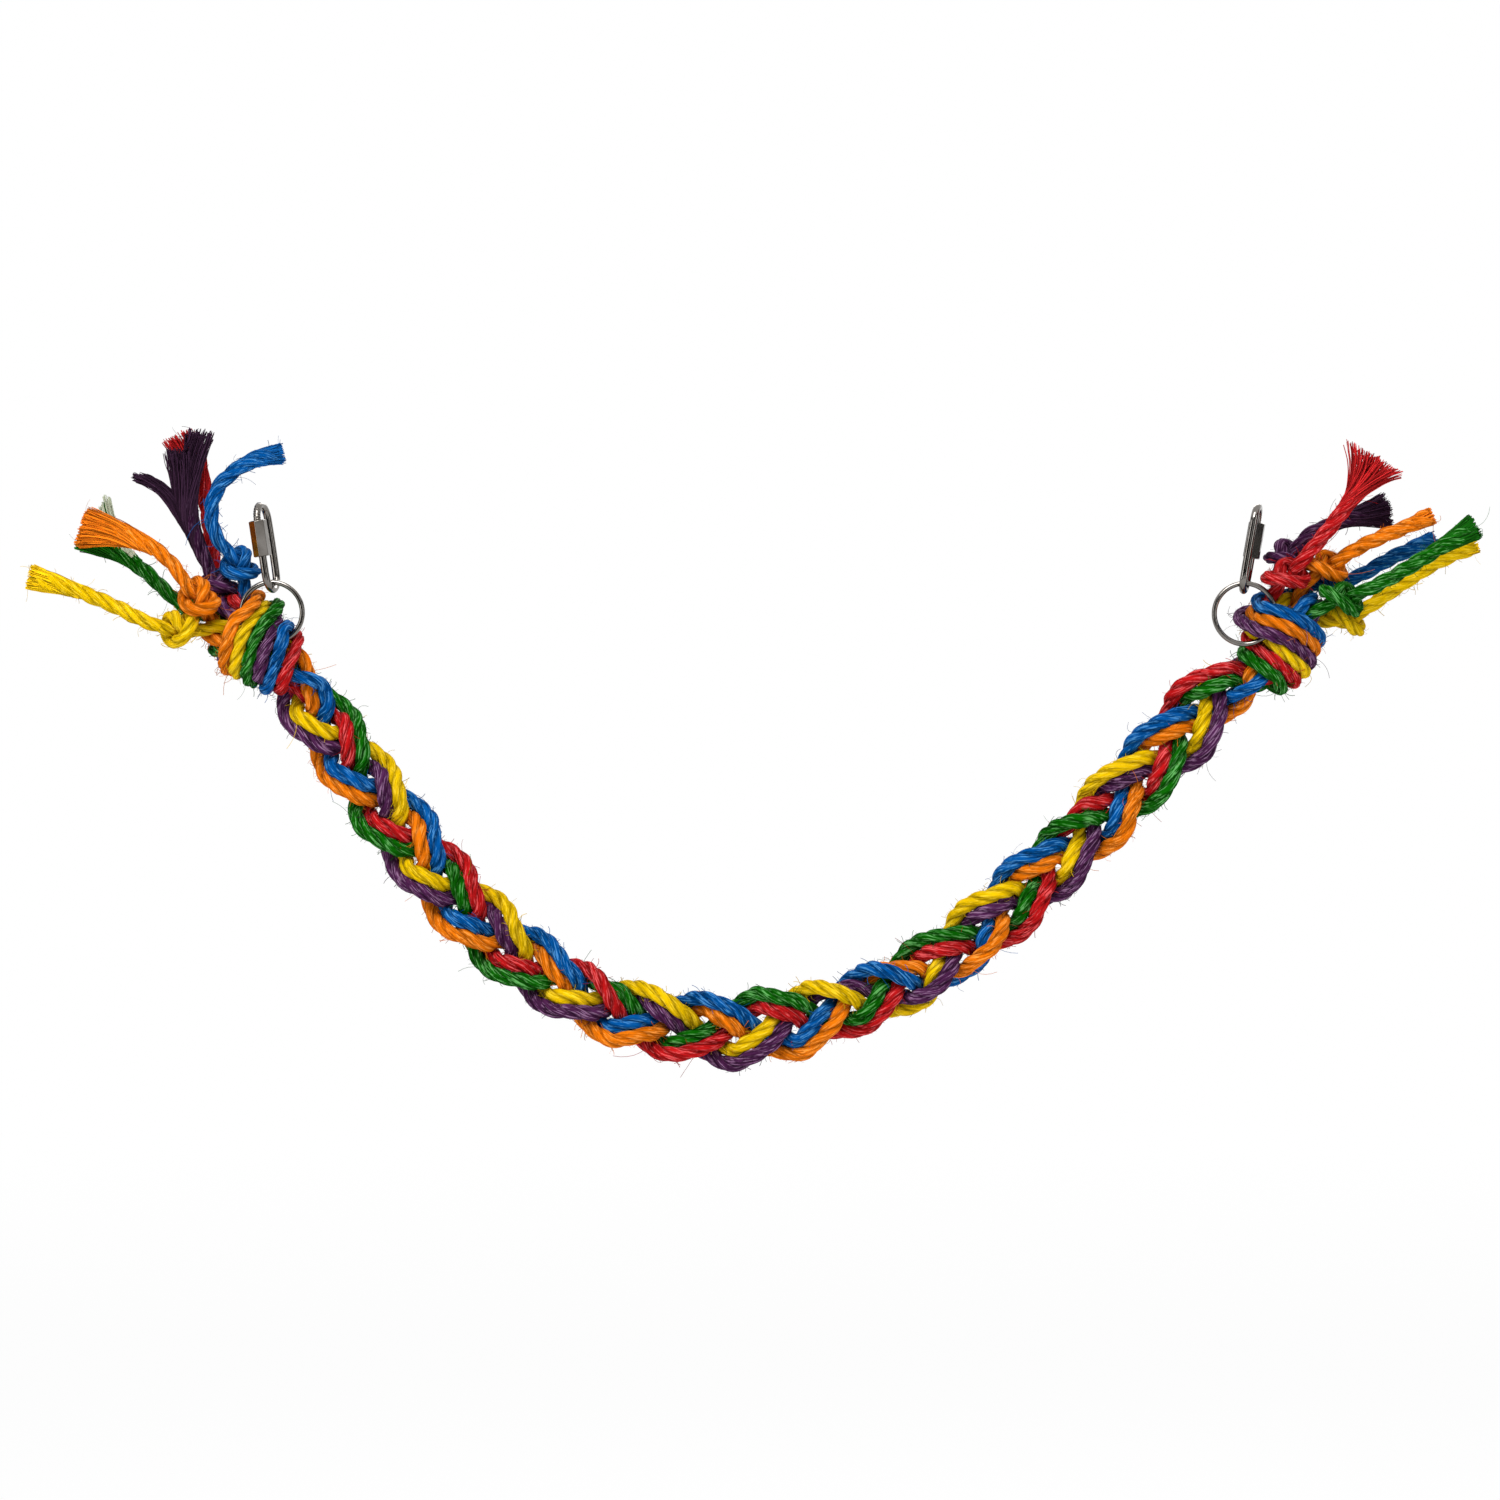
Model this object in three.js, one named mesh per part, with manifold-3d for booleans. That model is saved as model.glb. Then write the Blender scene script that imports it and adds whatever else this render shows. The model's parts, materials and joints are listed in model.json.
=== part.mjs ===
// A rope bridge for a bird cage: six dyed sisal ropes plaited in three pairs. At each end all six
// are tied in one overhand knot that traps a steel ring. Past it every rope has a stopper knot of its own
// and a frayed tail. A quick link hangs the ring on the cage bars.
// Millimetres, +X along the bridge, +Y away from the viewer, +Z up. The origin lies midway between the two
// seats that the cage bars take in the quick links.
import * as THREE from 'three';
import { mergeVertices } from 'three/addons/utils/BufferGeometryUtils.js';
import Module from 'manifold-3d';

// Ropes
const ROPE = 6;
const ROPE_CLEARANCE = 0.35;
const ROPE_SIDES = 5;
const KNOT_STEP = 7.4;
const STOPPER_STEP = 5.6;
const BRAID_STEP = 7.2;
const TAIL_STEP = 11;
const BRAID_PERIOD = 84;
const BRAID_SWING = 7;
const BRAID_LIFT = 6;
const JOINT_GAP = 0.3;
const TUFT_FLARE = [1.2, 1.6];
const TUFT_RINGS = TUFT_FLARE.length;

// Knots: how thin a rope is squeezed in them and, in squeezed ropes, the half width and length unit of a big
// knot and of a stopper, and how the lanes of the bundle are stacked in a big one
const KNOT_SQUEEZE = 0.87;
const KNOT_WIDE = 1.6;
const KNOT_LONG = 2.8;
const STOPPER_SIZE = 0.85;
const LANE_SPREAD = 0.5;
const ROW_RISE = 0.9;

// Rings
const RING_BORE = 25.2;
const RING_WIRE = 2.4;
const RING_ROCK = 10;
const RING_IN_FRONT = 12.5;

// Quick links and their sleeve nuts
const LINK_LENGTH = 42;
const LINK_WIDTH = 17;
const LINK_WIRE = 3.5;
const LINK_SWING = 60;
const SWING_PLACES = [-1, -0.85, -0.7, -0.55, -0.4, -0.2, 0, 0.2, 0.4, 0.55, 0.7, 0.85, 1];
const SEAT_CLEARANCE = 0.3;
const NUT_LENGTH = 16.5;
const NUT_FLATS = 7.2;
const NUT_BELOW_CROWN = 8.6;
const NUT_TRAVEL = 8.5;
const NUT_CLEARANCE = 0.3;
const NUT_CHAMFER = 0.7;
const THROAT = 6.5;
const THROAT_MARGIN = 0.5;
const WIRE_SIDES = 8;
const BEND_STEPS = 7;
const RING_SIDES = 6;
const RING_STEPS = 28;
const NUT_SIDES = 12;
const MERGE_WITHIN = 1e-4;

// Colours of the dyed sisal and of the zinc-plated steel
const DYES = {
  yellow: 0xe0b20a, purple: 0x50284f, blue: 0x0654a0,
  orange: 0xd56c16, green: 0x146414, red: 0xaa2022,
};
const STEEL = 0xb9b9b6;

const pitch = ROPE + ROPE_CLEARANCE;
const knotPitch = ROPE * KNOT_SQUEEZE + ROPE_CLEARANCE;
const ringRadius = (RING_BORE + RING_WIRE) / 2;
const linkBend = (LINK_WIDTH - LINK_WIRE) / 2;
const legHalf = LINK_LENGTH / 2 - LINK_WIDTH / 2;
const nutTop = LINK_LENGTH / 2 - NUT_BELOW_CROWN;
const throatFoot = nutTop - NUT_TRAVEL + THROAT_MARGIN;
const seatDrop = LINK_LENGTH / 2 - LINK_WIRE - SEAT_CLEARANCE - RING_WIRE / 2;
const seatRise = LINK_LENGTH / 2 - LINK_WIRE;

const at = (x, y, z) => new THREE.Vector3(x, y, z);
const degrees = THREE.MathUtils.degToRad;

// The middle line of the hanging braid, left to right, as x and z.
const HANG = [
  [-211, -80], [-195, -104], [-170, -138], [-145, -171], [-110, -205], [-62, -231], [-9, -239],
  [49, -224], [84, -207], [126, -171], [163, -134], [193, -103], [214, -76],
];

// Each pair of the braid: its upper and lower rope, and the crests where the pair turns over.
const PAIRS = [
  { upper: 'yellow', lower: 'purple', turns: [11.5, 12.6] },
  { upper: 'blue', lower: 'orange', turns: [12.5, 13.6] },
  { upper: 'green', lower: 'red', turns: [2.25, 7.5, 16.5] },
];
const FIRST_CREST = -2;
const TURN_HALF = 0.6;

// The two ends. knot is the middle of the big knot, along points to the tails and up to the ring, all in x
// and z; lanes names the ropes in the order that they cross the front of the knot, tails first.
// Each tail holds the middle of its stopper knot, as x, depth and z, and then the route of its free end.
const ENDS = {
  left: {
    side: -1, knot: [-227.5, -62], along: [-0.83, 0.55], up: [0.55, 0.83],
    ring: [-221.1, -49.1], lean: -8.5, yaw: 73,
    lanes: ['orange', 'yellow', 'green', 'purple', 'blue', 'red'],
    tails: {
      yellow: {
        knot: [-264, -8, -58.5], tip: -10,
        route: [[-277, -54], [-293, -46], [-313, -38], [-331, -33]],
      },
      orange: {
        knot: [-255, -12, -44], tip: -14,
        route: [[-263, -31], [-273, -21], [-287, -14], [-305, -8]],
      },
      green: { knot: [-257, 10, -51], route: [[-268, -42], [-278, -32], [-292, -22], [-310, -15]], tip: 6 },
      purple: { knot: [-247, 10, -36], route: [[-256, -18], [-261, 0], [-261, 17], [-259, 32]], tip: -2 },
      red: { knot: [-241, 24, -47], route: [[-249, -30], [-252, -10], [-255, 10], [-263, 30]], tip: 14 },
      blue: {
        knot: [-236, 2, -28], tip: 8,
        route: [[-246, -17], [-250, -5], [-247, 8], [-238, 17], [-228, 22], [-218, 24]],
      },
    },
  },
  right: {
    side: 1, knot: [236, -61.5], along: [0.1, 0.995], up: [-0.995, 0.1],
    ring: [220.4, -49.6], lean: 10, yaw: 259,
    lanes: ['blue', 'orange', 'purple', 'yellow', 'red', 'green'],
    tails: {
      red: { knot: [239, -10, -35], route: [[248, -24], [258, -12], [269, 3], [279, 21]], tip: -14 },
      purple: { knot: [237, 8, -24], route: [[247, -15], [258, -10], [272, -5], [287, -1]], tip: 8 },
      orange: { knot: [256, -2, -29], route: [[268, -22], [280, -16], [292, -11], [306, -5]], tip: -4 },
      blue: { knot: [262, 16, -38], route: [[273, -33], [285, -26], [297, -20], [309, -15]], tip: 14 },
      green: { knot: [264, -8, -44], route: [[276, -39], [291, -31], [307, -21], [325, -10]], tip: -12 },
      yellow: { knot: [267, 9, -54], route: [[279, -46], [293, -36], [309, -26], [327, -18]], tip: 6 },
    },
  },
};

// The course of an overhand knot round its own axis, from the standing rope to the tail:
// turn in degrees, radius and place along the axis in the knot's own units,
// how far the lanes of a bundle lie across instead of along the axis, and how flat they are spread.
const OVERHAND = [
  [120, 0.5, -1.5, 1, 0], [120, 0.55, -0.6, 1, 0], [120, 0.55, 0.5, 1, 0], [165, 1, 1.1, 0.5, 0],
  [215, 1.35, 0.95, 0, 0], [270, 1.4, 0.65, 0, 0], [350, 1.4, 0.3, 0, 0], [400, 1.6, 0.1, 0, 0],
  [450, 1.5, 0, 0, 1], [530, 1.4, -0.3, 0, 0.6], [600, 1.4, -0.7, 0, 0], [625, 1, -1.1, 0.5, 0],
  [630, 0.55, -0.5, 1, 0], [630, 0.55, 0.6, 1, 0], [630, 0.5, 1.5, 1, 0],
];

function overhand(frame, wide, long, lane) {
  const { centre, along, up, front } = frame;
  const row = Math.floor(lane) % 2 ? -0.5 : 0.5;
  return OVERHAND.map(([turn, radius, place, across, flat]) => {
    const a = degrees(turn);
    const out = up.clone().multiplyScalar(Math.cos(a)).addScaledVector(front, Math.sin(a));
    const tangent = front.clone().multiplyScalar(Math.cos(a)).addScaledVector(up, -Math.sin(a));
    const spread = lane * knotPitch * THREE.MathUtils.lerp(LANE_SPREAD, 1, flat);
    const stack = lane ? row * knotPitch * THREE.MathUtils.lerp(ROW_RISE, 0, flat) : 0;
    return centre.clone()
      .addScaledVector(out, radius * wide + stack)
      .addScaledVector(along, place * long + spread * (1 - across))
      .addScaledVector(tangent, -spread * across);
  });
}

function knotFrame(end) {
  return {
    centre: at(end.knot[0], 0, end.knot[1]),
    along: at(end.along[0], 0, end.along[1]).normalize(),
    up: at(end.up[0], 0, end.up[1]).normalize(),
    front: at(0, -1, 0),
  };
}

// One rope's way out of the braid at one end: through the big knot, its stopper and along its tail.
function endRoute(end, dye) {
  const lane = (end.lanes.length - 1) / 2 - end.lanes.indexOf(dye);
  const tail = end.tails[dye];
  const centre = at(...tail.knot);
  const first = at(tail.route[0][0], tail.knot[1], tail.route[0][1]);
  const along = first.clone().sub(centre).normalize();
  const front = at(0, -1, 0);
  const up = along.clone().cross(front).multiplyScalar(end.side);
  const big = overhand(knotFrame(end), KNOT_WIDE * knotPitch, KNOT_LONG * knotPitch, lane);
  const small = STOPPER_SIZE * knotPitch;
  const stopper = overhand({ centre, along, up, front }, small, small, 0);
  const last = tail.route.length - 1;
  const depth = i => THREE.MathUtils.lerp(tail.knot[1], tail.tip, i / last);
  const free = tail.route.map(([x, z], i) => at(x, depth(i), z));
  return { big, stopper, free };
}

// The plait: three pairs weave across a flat band, each over the next pair it meets and under the one after.
function braidRoute(dye) {
  const line = new THREE.CatmullRomCurve3(HANG.map(([x, z]) => at(x, 0, z)));
  const pairIndex = PAIRS.findIndex(pair => pair.upper === dye || pair.lower === dye);
  const pair = PAIRS[pairIndex];
  const share = pair.upper === dye ? 0.5 : -0.5;
  const length = line.getLength();
  const steps = Math.round(length / BRAID_STEP);
  const crest = BRAID_PERIOD / PAIRS.length;
  const points = [];
  for (let i = 0; i <= steps; i += 1) {
    const middle = line.getPointAt(i / steps);
    const tangent = line.getTangentAt(i / steps);
    const upward = at(-tangent.z, 0, tangent.x);
    const crests = i / steps * length / crest;
    const phase = 2 * Math.PI * (crests - pairIndex + FIRST_CREST) / PAIRS.length;
    const slope = -BRAID_SWING * Math.sin(phase) * 2 * Math.PI / BRAID_PERIOD;
    const lean = Math.atan(slope);
    const turn = t => THREE.MathUtils.smoothstep(crests, t - TURN_HALF, t + TURN_HALF);
    const roll = Math.PI * pair.turns.reduce((sum, t) => sum + turn(t), 0);
    const across = upward.clone().multiplyScalar(Math.cos(lean)).addScaledVector(tangent, -Math.sin(lean));
    const over = Math.sin(2 * phase);
    points.push(middle.clone()
      .addScaledVector(upward, BRAID_SWING * Math.cos(phase))
      .addScaledVector(across, share * pitch * Math.cos(roll))
      .add(at(0, -BRAID_LIFT * over - share * pitch * Math.sin(roll), 0)));
  }
  return points;
}

function resample(points, step) {
  const curve = new THREE.CatmullRomCurve3(points, false, 'centripetal');
  return curve.getSpacedPoints(Math.max(2, Math.round(curve.getLength() / step)));
}

function knotRun(start, { big, stopper }) {
  return [
    ...resample([start, ...big, stopper[0]], KNOT_STEP).slice(0, -1),
    ...resample(stopper, STOPPER_STEP),
  ];
}

// How strongly a stretch is held to its route and how much it straightens in each round of settling,
// and its girth as a share of the free rope's.
const FIRM = { hold: 0.2, ease: 0.01, girth: 1 };
const WOVEN = { hold: 0.2, ease: 0.01, girth: 1 };
const SLACK = { hold: 0.004, ease: 0.1, girth: KNOT_SQUEEZE };

// A whole rope as one run of points, with the places where its free tails begin.
function ropeLine(dye) {
  const left = endRoute(ENDS.left, dye);
  const right = endRoute(ENDS.right, dye);
  const braid = braidRoute(dye);
  const leftTail = resample([left.stopper.at(-1), ...left.free], TAIL_STEP).slice(1).reverse();
  const leftKnots = knotRun(braid[0], left).reverse();
  const rightKnots = knotRun(braid.at(-1), right);
  const rightTail = resample([right.stopper.at(-1), ...right.free], TAIL_STEP).slice(1);
  const points = [...leftTail, ...leftKnots, ...braid.slice(1, -1), ...rightKnots, ...rightTail];
  const firmness = [
    ...leftTail.map(() => FIRM), ...leftKnots.map(() => SLACK), ...braid.slice(1, -1).map(() => WOVEN),
    ...rightKnots.map(() => SLACK), ...rightTail.map(() => FIRM),
  ];
  const mean = values => values.reduce((sum, v) => sum + v, 0) / values.length;
  const girths = firmness.map((_, i) => mean(firmness.slice(Math.max(0, i - 1), i + 2).map(f => f.girth)));
  return {
    dye, points, firmness, girths,
    radius: ROPE / 2,
    leftSplit: leftTail.length,
    rightSplit: points.length - rightTail.length - 1,
  };
}

// Steel that the ropes lie against, as fixed lines: each ring over its rocking and each link over its swing.
function steelLines(end) {
  const { ring, link } = hinges(end);
  const rocks = [-RING_ROCK, 0, RING_ROCK];
  const swings = SWING_PLACES.map(share => share * LINK_SWING);
  const circle = Array.from({ length: RING_STEPS + 1 }, (_, i) => {
    const a = 2 * Math.PI * i / RING_STEPS;
    return at(ringRadius * Math.cos(a), 0, ringRadius * Math.sin(a)).add(ringCentre(end));
  });
  const hung = p => p.applyMatrix4(linkMatrix(end));
  const loop = linkPoints().map(hung);
  const nut = [nutTop, nutTop - NUT_LENGTH - NUT_TRAVEL].map(z => hung(at(-linkBend, 0, z)));
  const line = (points, hinge, angle, radius) => {
    const moved = points.map(p => turned(p, hinge, angle));
    return { points: moved, radius };
  };
  return [
    ...rocks.map(angle => line(circle, ring, angle, RING_WIRE / 2)),
    ...swings.map(angle => line(loop, link, angle, LINK_WIRE / 2)),
    ...swings.map(angle => line(nut, link, angle, NUT_FLATS / Math.sqrt(3))),
  ];
}

function turned(point, hinge, angle) {
  return point.clone().sub(hinge.centre).applyAxisAngle(hinge.axis, degrees(angle)).add(hinge.centre);
}

const ringCentre = end => at(end.ring[0], -RING_IN_FRONT, end.ring[1]);

// The ring rocks about its deepest point in the knot, and the link swings about the ring's wire at the top.
function hinges(end) {
  const frame = knotFrame(end);
  return {
    ring: { centre: ringCentre(end).addScaledVector(frame.up, -ringRadius), axis: frame.along },
    link: { centre: ringCentre(end).add(at(0, 0, ringRadius)), axis: at(1, 0, 0) },
  };
}

function linkMatrix(end) {
  const turn = new THREE.Euler(0, degrees(end.lean), degrees(end.yaw), 'YZX');
  const upward = at(0, 0, 1).applyEuler(turn);
  const centre = hinges(end).link.centre.addScaledVector(upward, seatDrop);
  return new THREE.Matrix4().makeRotationFromEuler(turn).setPosition(centre);
}

// The bent wire of a quick link in its own frame: z along the link, the nut's leg on the -x side.
function linkPoints() {
  const bend = (z, from) => Array.from({ length: BEND_STEPS + 1 }, (_, i) => {
    const a = from - Math.PI * i / BEND_STEPS;
    return at(linkBend * Math.cos(a), 0, z + linkBend * Math.sin(a));
  });
  return [
    at(-linkBend, 0, throatFoot + THROAT), ...bend(legHalf, Math.PI), ...bend(-legHalf, 0),
    at(-linkBend, 0, throatFoot),
  ];
}

// Moves rope points until every rope lies clear of the others, of itself and of the steel.
// Ropes keep close to their routes, straighten a little like real ones, and give way where they touch.
const SETTLE_ROUNDS = 300;
const FREE_ROUNDS = SETTLE_ROUNDS / 2;
const LAST_ROUNDS = SETTLE_ROUNDS / 4;
const LOOK_AGAIN = 10;
const NEAR = 4;
const OWN_REACH = 3;
const SHARPEST = 0.5;
const SHARP_EASE = 0.3;
const LOSS_OF_HOLD = 0.8;
const PUSH = 0.8;
const TOUCHING = 1e-6;
const CELL = 3 * pitch;
const GRID = 1000;

function settle(ropes, steel) {
  const homes = ropes.map(rope => rope.points.map(p => p.clone()));
  const rods = rodsOf(ropes, steel);
  let near = [];
  for (let round = 0; round < SETTLE_ROUNDS + FREE_ROUNDS + LAST_ROUNDS; round += 1) {
    const easing = round < SETTLE_ROUNDS ? 1 - LOSS_OF_HOLD * round / SETTLE_ROUNDS : 0;
    if (round < SETTLE_ROUNDS + FREE_ROUNDS) {
      ropes.forEach((rope, r) => straighten(rope, homes[r], easing));
    }
    if (round % LOOK_AGAIN === 0) {
      near = neighbours(rods);
    }
    near.forEach(([p, q]) => part(p, q));
  }
}

// Straight rods between neighbouring points; the steel gives no way.
function rodsOf(ropes, steel) {
  const girth = (line, i) => line.girths ? Math.max(line.girths[i], line.girths[i + 1]) : 1;
  return [...ropes, ...steel].flatMap((line, owner) => line.points.slice(1).map((b, i) => ({
    owner, i, a: line.points[i], b, radius: line.radius * girth(line, i), give: owner < ropes.length ? 1 : 0,
  })));
}

function straighten(rope, home, easing) {
  const { points, firmness } = rope;
  for (let i = 1; i + 1 < points.length; i += 1) {
    const before = home[i].distanceTo(home[i - 1]);
    const after = home[i].distanceTo(home[i + 1]);
    const chord = points[i - 1].clone().lerp(points[i + 1], before / (before + after));
    const sharp = chord.distanceTo(points[i]) > SHARPEST * Math.min(before, after);
    points[i].lerp(chord, sharp ? SHARP_EASE : firmness[i].ease * easing);
    points[i].lerp(home[i], firmness[i].hold * easing);
  }
}

// Pairs of rods that lie near each other, found through a grid of cells that holds each rod by its middle.
function neighbours(rods) {
  const grid = new Map();
  const found = [];
  const key = (x, y, z) => (x * GRID + y) * GRID + z;
  const around = [-1, 0, 1];
  rods.forEach(rod => {
    const [cx, cy, cz] = ['x', 'y', 'z'].map(axis => Math.floor((rod.a[axis] + rod.b[axis]) / 2 / CELL));
    const keys = around.flatMap(i => around.flatMap(j => around.map(k => key(cx + i, cy + j, cz + k))));
    keys.flatMap(cell => grid.get(cell) ?? []).forEach(other => {
      const own = other.owner === rod.owner && rod.i - other.i <= OWN_REACH;
      if (!own && other.give + rod.give && gap(other, rod) < NEAR) {
        found.push([other, rod]);
      }
    });
    const home = key(cx, cy, cz);
    grid.set(home, [...grid.get(home) ?? [], rod]);
  });
  return found;
}

const gap = (p, q) => closest(p, q).distance - p.radius - q.radius;

// The closest places on two rods, as shares of their lengths, and the way between them.
function closest(p, q) {
  const ux = p.b.x - p.a.x;
  const uy = p.b.y - p.a.y;
  const uz = p.b.z - p.a.z;
  const vx = q.b.x - q.a.x;
  const vy = q.b.y - q.a.y;
  const vz = q.b.z - q.a.z;
  const wx = p.a.x - q.a.x;
  const wy = p.a.y - q.a.y;
  const wz = p.a.z - q.a.z;
  const uu = ux * ux + uy * uy + uz * uz;
  const vv = vx * vx + vy * vy + vz * vz;
  const uv = ux * vx + uy * vy + uz * vz;
  const uw = ux * wx + uy * wy + uz * wz;
  const vw = vx * wx + vy * wy + vz * wz;
  const within = v => Math.min(1, Math.max(0, v));
  const square = uu * vv - uv * uv;
  let s = square > TOUCHING ? within((uv * vw - vv * uw) / square) : 0.5;
  let t = within((uv * s + vw) / vv);
  s = within((uv * t - uw) / uu);
  t = within((uv * s + vw) / vv);
  const x = wx + ux * s - vx * t;
  const y = wy + uy * s - vy * t;
  const z = wz + uz * s - vz * t;
  return { s, t, x, y, z, distance: Math.sqrt(x * x + y * y + z * z) };
}

function part(p, q) {
  const need = p.radius + q.radius + ROPE_CLEARANCE;
  const { s, t, x, y, z, distance } = closest(p, q);
  if (distance >= need || distance < TOUCHING) {
    return;
  }
  const weight = p.give * ((1 - s) ** 2 + s ** 2) + q.give * ((1 - t) ** 2 + t ** 2);
  const push = PUSH * (need - distance) / weight / distance;
  const nudge = (point, share) => {
    point.x += x * share;
    point.y += y * share;
    point.z += z * share;
  };
  nudge(p.a, p.give * (1 - s) * push);
  nudge(p.b, p.give * s * push);
  nudge(q.a, -q.give * (1 - t) * push);
  nudge(q.b, -q.give * t * push);
}

// A line through given points that a section is swept along, with one ring of the sweep at each point.
// The first and last rings may face a given way.
class Course extends THREE.Curve {
  constructor(points, faces = {}) {
    super();
    this.points = points;
    this.faces = faces;
  }

  getSpacedPoints() {
    return this.points;
  }

  getTangentAt(share) {
    const { points, faces } = this;
    const i = Math.round(share * (points.length - 1));
    if (i === 0 && faces.first) {
      return faces.first.clone();
    }
    if (i === points.length - 1 && faces.last) {
      return faces.last.clone();
    }
    const before = points[Math.max(0, i - 1)];
    const after = points[Math.min(points.length - 1, i + 1)];
    const here = points[i];
    const into = here.clone().sub(before).normalize();
    const out = after.clone().sub(here).normalize();
    return into.add(out).normalize();
  }
}

function polygon(sides, radius) {
  const corner = i => {
    const a = 2 * Math.PI * i / sides;
    return new THREE.Vector2(radius * Math.cos(a), radius * Math.sin(a));
  };
  return new THREE.Shape(Array.from({ length: sides }, (_, i) => corner(i)));
}

function tube(points, sides, radius, faces) {
  const course = new Course(points, faces);
  return new THREE.ExtrudeGeometry(polygon(sides, radius), { steps: points.length - 1, extrudePath: course });
}

// A length of rope that has its own girth at each point.
function ropeGeometry(points, girths, faces) {
  const geometry = tube(points, ROPE_SIDES, ROPE / 2, faces);
  const course = new Course(points, faces);
  const tangents = points.map((_, i) => course.getTangentAt(i / (points.length - 1)));
  const places = geometry.attributes.position;
  const vertex = at(0, 0, 0);
  for (let i = 0; i < places.count; i += 1) {
    vertex.fromBufferAttribute(places, i);
    const ring = ringOf(vertex, points, tangents);
    vertex.sub(points[ring]).multiplyScalar(girths[ring]).add(points[ring]);
    places.setXYZ(i, vertex.x, vertex.y, vertex.z);
  }
  geometry.computeVertexNormals();
  return geometry;
}

// The ring of a sweep that a corner belongs to: it lies in the ring's plane, a radius from its middle.
function ringOf(vertex, points, tangents) {
  const misfit = points.map((point, i) => {
    const out = vertex.clone().sub(point);
    return Math.abs(out.dot(tangents[i])) + Math.abs(out.length() - ROPE / 2);
  });
  return misfit.indexOf(Math.min(...misfit));
}

// The face where a rope's tail begins, half of the joint's gap to either side of a point of the rope.
function parting(points, i) {
  const along = points[i + 1].clone().sub(points[i - 1]).normalize();
  const before = points[i].clone().addScaledVector(along, -JOINT_GAP / 2);
  const after = points[i].clone().addScaledVector(along, JOINT_GAP / 2);
  return { along, before, after };
}

const wasm = await Module();
wasm.setup();

function solid(geometry) {
  const bare = geometry.clone();
  bare.deleteAttribute('normal');
  bare.deleteAttribute('uv');
  const merged = mergeVertices(bare, MERGE_WITHIN);
  return new wasm.Manifold(new wasm.Mesh({
    numProp: 3,
    vertProperties: new Float32Array(merged.attributes.position.array),
    triVerts: new Uint32Array(merged.index.array),
  }));
}

function geometryOf(body) {
  const { vertProperties, triVerts } = body.getMesh();
  const geometry = new THREE.BufferGeometry();
  geometry.setAttribute('position', new THREE.BufferAttribute(vertProperties, 3));
  geometry.setIndex(new THREE.BufferAttribute(triVerts, 1));
  geometry.computeVertexNormals();
  return geometry;
}

// The sleeve nut, about its own axis z: a long hexagon with turned ends and a bore for the wire.
function nutGeometry() {
  const corner = NUT_FLATS / Math.sqrt(3);
  const half = NUT_LENGTH / 2;
  const hexagon = new THREE.ExtrudeGeometry(polygon(6, corner), { depth: NUT_LENGTH, bevelEnabled: false });
  hexagon.translate(0, 0, -half);
  const turnedEnds = new THREE.LatheGeometry([
    new THREE.Vector2(0, -half), new THREE.Vector2(corner - NUT_CHAMFER, -half),
    new THREE.Vector2(corner + NUT_CHAMFER, NUT_CHAMFER - half),
    new THREE.Vector2(corner + NUT_CHAMFER, half - NUT_CHAMFER),
    new THREE.Vector2(corner - NUT_CHAMFER, half), new THREE.Vector2(0, half),
  ], NUT_SIDES);
  turnedEnds.rotateX(Math.PI / 2);
  const boreRadius = LINK_WIRE / 2 + NUT_CLEARANCE;
  const bore = new THREE.CylinderGeometry(boreRadius, boreRadius, 2 * NUT_LENGTH, NUT_SIDES);
  bore.rotateX(Math.PI / 2);
  return geometryOf(solid(hexagon).intersect(solid(turnedEnds)).subtract(solid(bore)));
}

const steelFinish = new THREE.MeshStandardMaterial({ color: STEEL, roughness: 0.32, metalness: 1 });

function named(name, geometry, material) {
  const mesh = new THREE.Mesh(geometry, material);
  mesh.name = name;
  return mesh;
}

// The ring, the quick link on it and the link's nut at one end.
function hardware(side) {
  const end = ENDS[side];
  const group = new THREE.Group();
  const ringShape = new THREE.TorusGeometry(ringRadius, RING_WIRE / 2, RING_SIDES, RING_STEPS);
  const ring = named(`${side}_ring`, ringShape, steelFinish);
  ring.rotation.x = Math.PI / 2;
  ring.position.copy(ringCentre(end));
  const hanger = new THREE.Group();
  hanger.applyMatrix4(linkMatrix(end));
  const nut = named(`${side}_sleeve_nut`, nutGeometry(), steelFinish);
  nut.position.set(-linkBend, 0, nutTop - NUT_LENGTH / 2);
  hanger.add(named(`${side}_quick_link`, tube(linkPoints(), WIRE_SIDES, LINK_WIRE / 2), steelFinish), nut);
  group.add(ring, hanger);
  return group;
}

// The held length of a rope and its two free tails, whose cut ends open out as their yarns unlay.
function ropePieces(rope) {
  const { dye, points, girths, leftSplit, rightSplit } = rope;
  const finish = new THREE.MeshStandardMaterial({ color: DYES[dye], roughness: 0.9, metalness: 0 });
  const left = parting(points, leftSplit);
  const right = parting(points, rightSplit);
  const held = [left.after, ...points.slice(leftSplit + 1, rightSplit), right.before];
  const leftTail = [left.before, ...points.slice(0, leftSplit).reverse()];
  const rightTail = [right.after, ...points.slice(rightSplit + 1)];
  const frayed = sizes => [...sizes.slice(0, -TUFT_RINGS), ...TUFT_FLARE];
  const leftGirths = frayed(girths.slice(0, leftSplit + 1).reverse());
  const rightGirths = frayed(girths.slice(rightSplit));
  const heldFaces = { first: left.along, last: right.along };
  const leftFace = { first: left.along.clone().negate() };
  return [
    named(`rope_${dye}`, ropeGeometry(held, girths.slice(leftSplit, rightSplit + 1), heldFaces), finish),
    named(`left_tail_${dye}`, ropeGeometry(leftTail, leftGirths, leftFace), finish),
    named(`right_tail_${dye}`, ropeGeometry(rightTail, rightGirths, { first: right.along }), finish),
  ];
}

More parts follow.
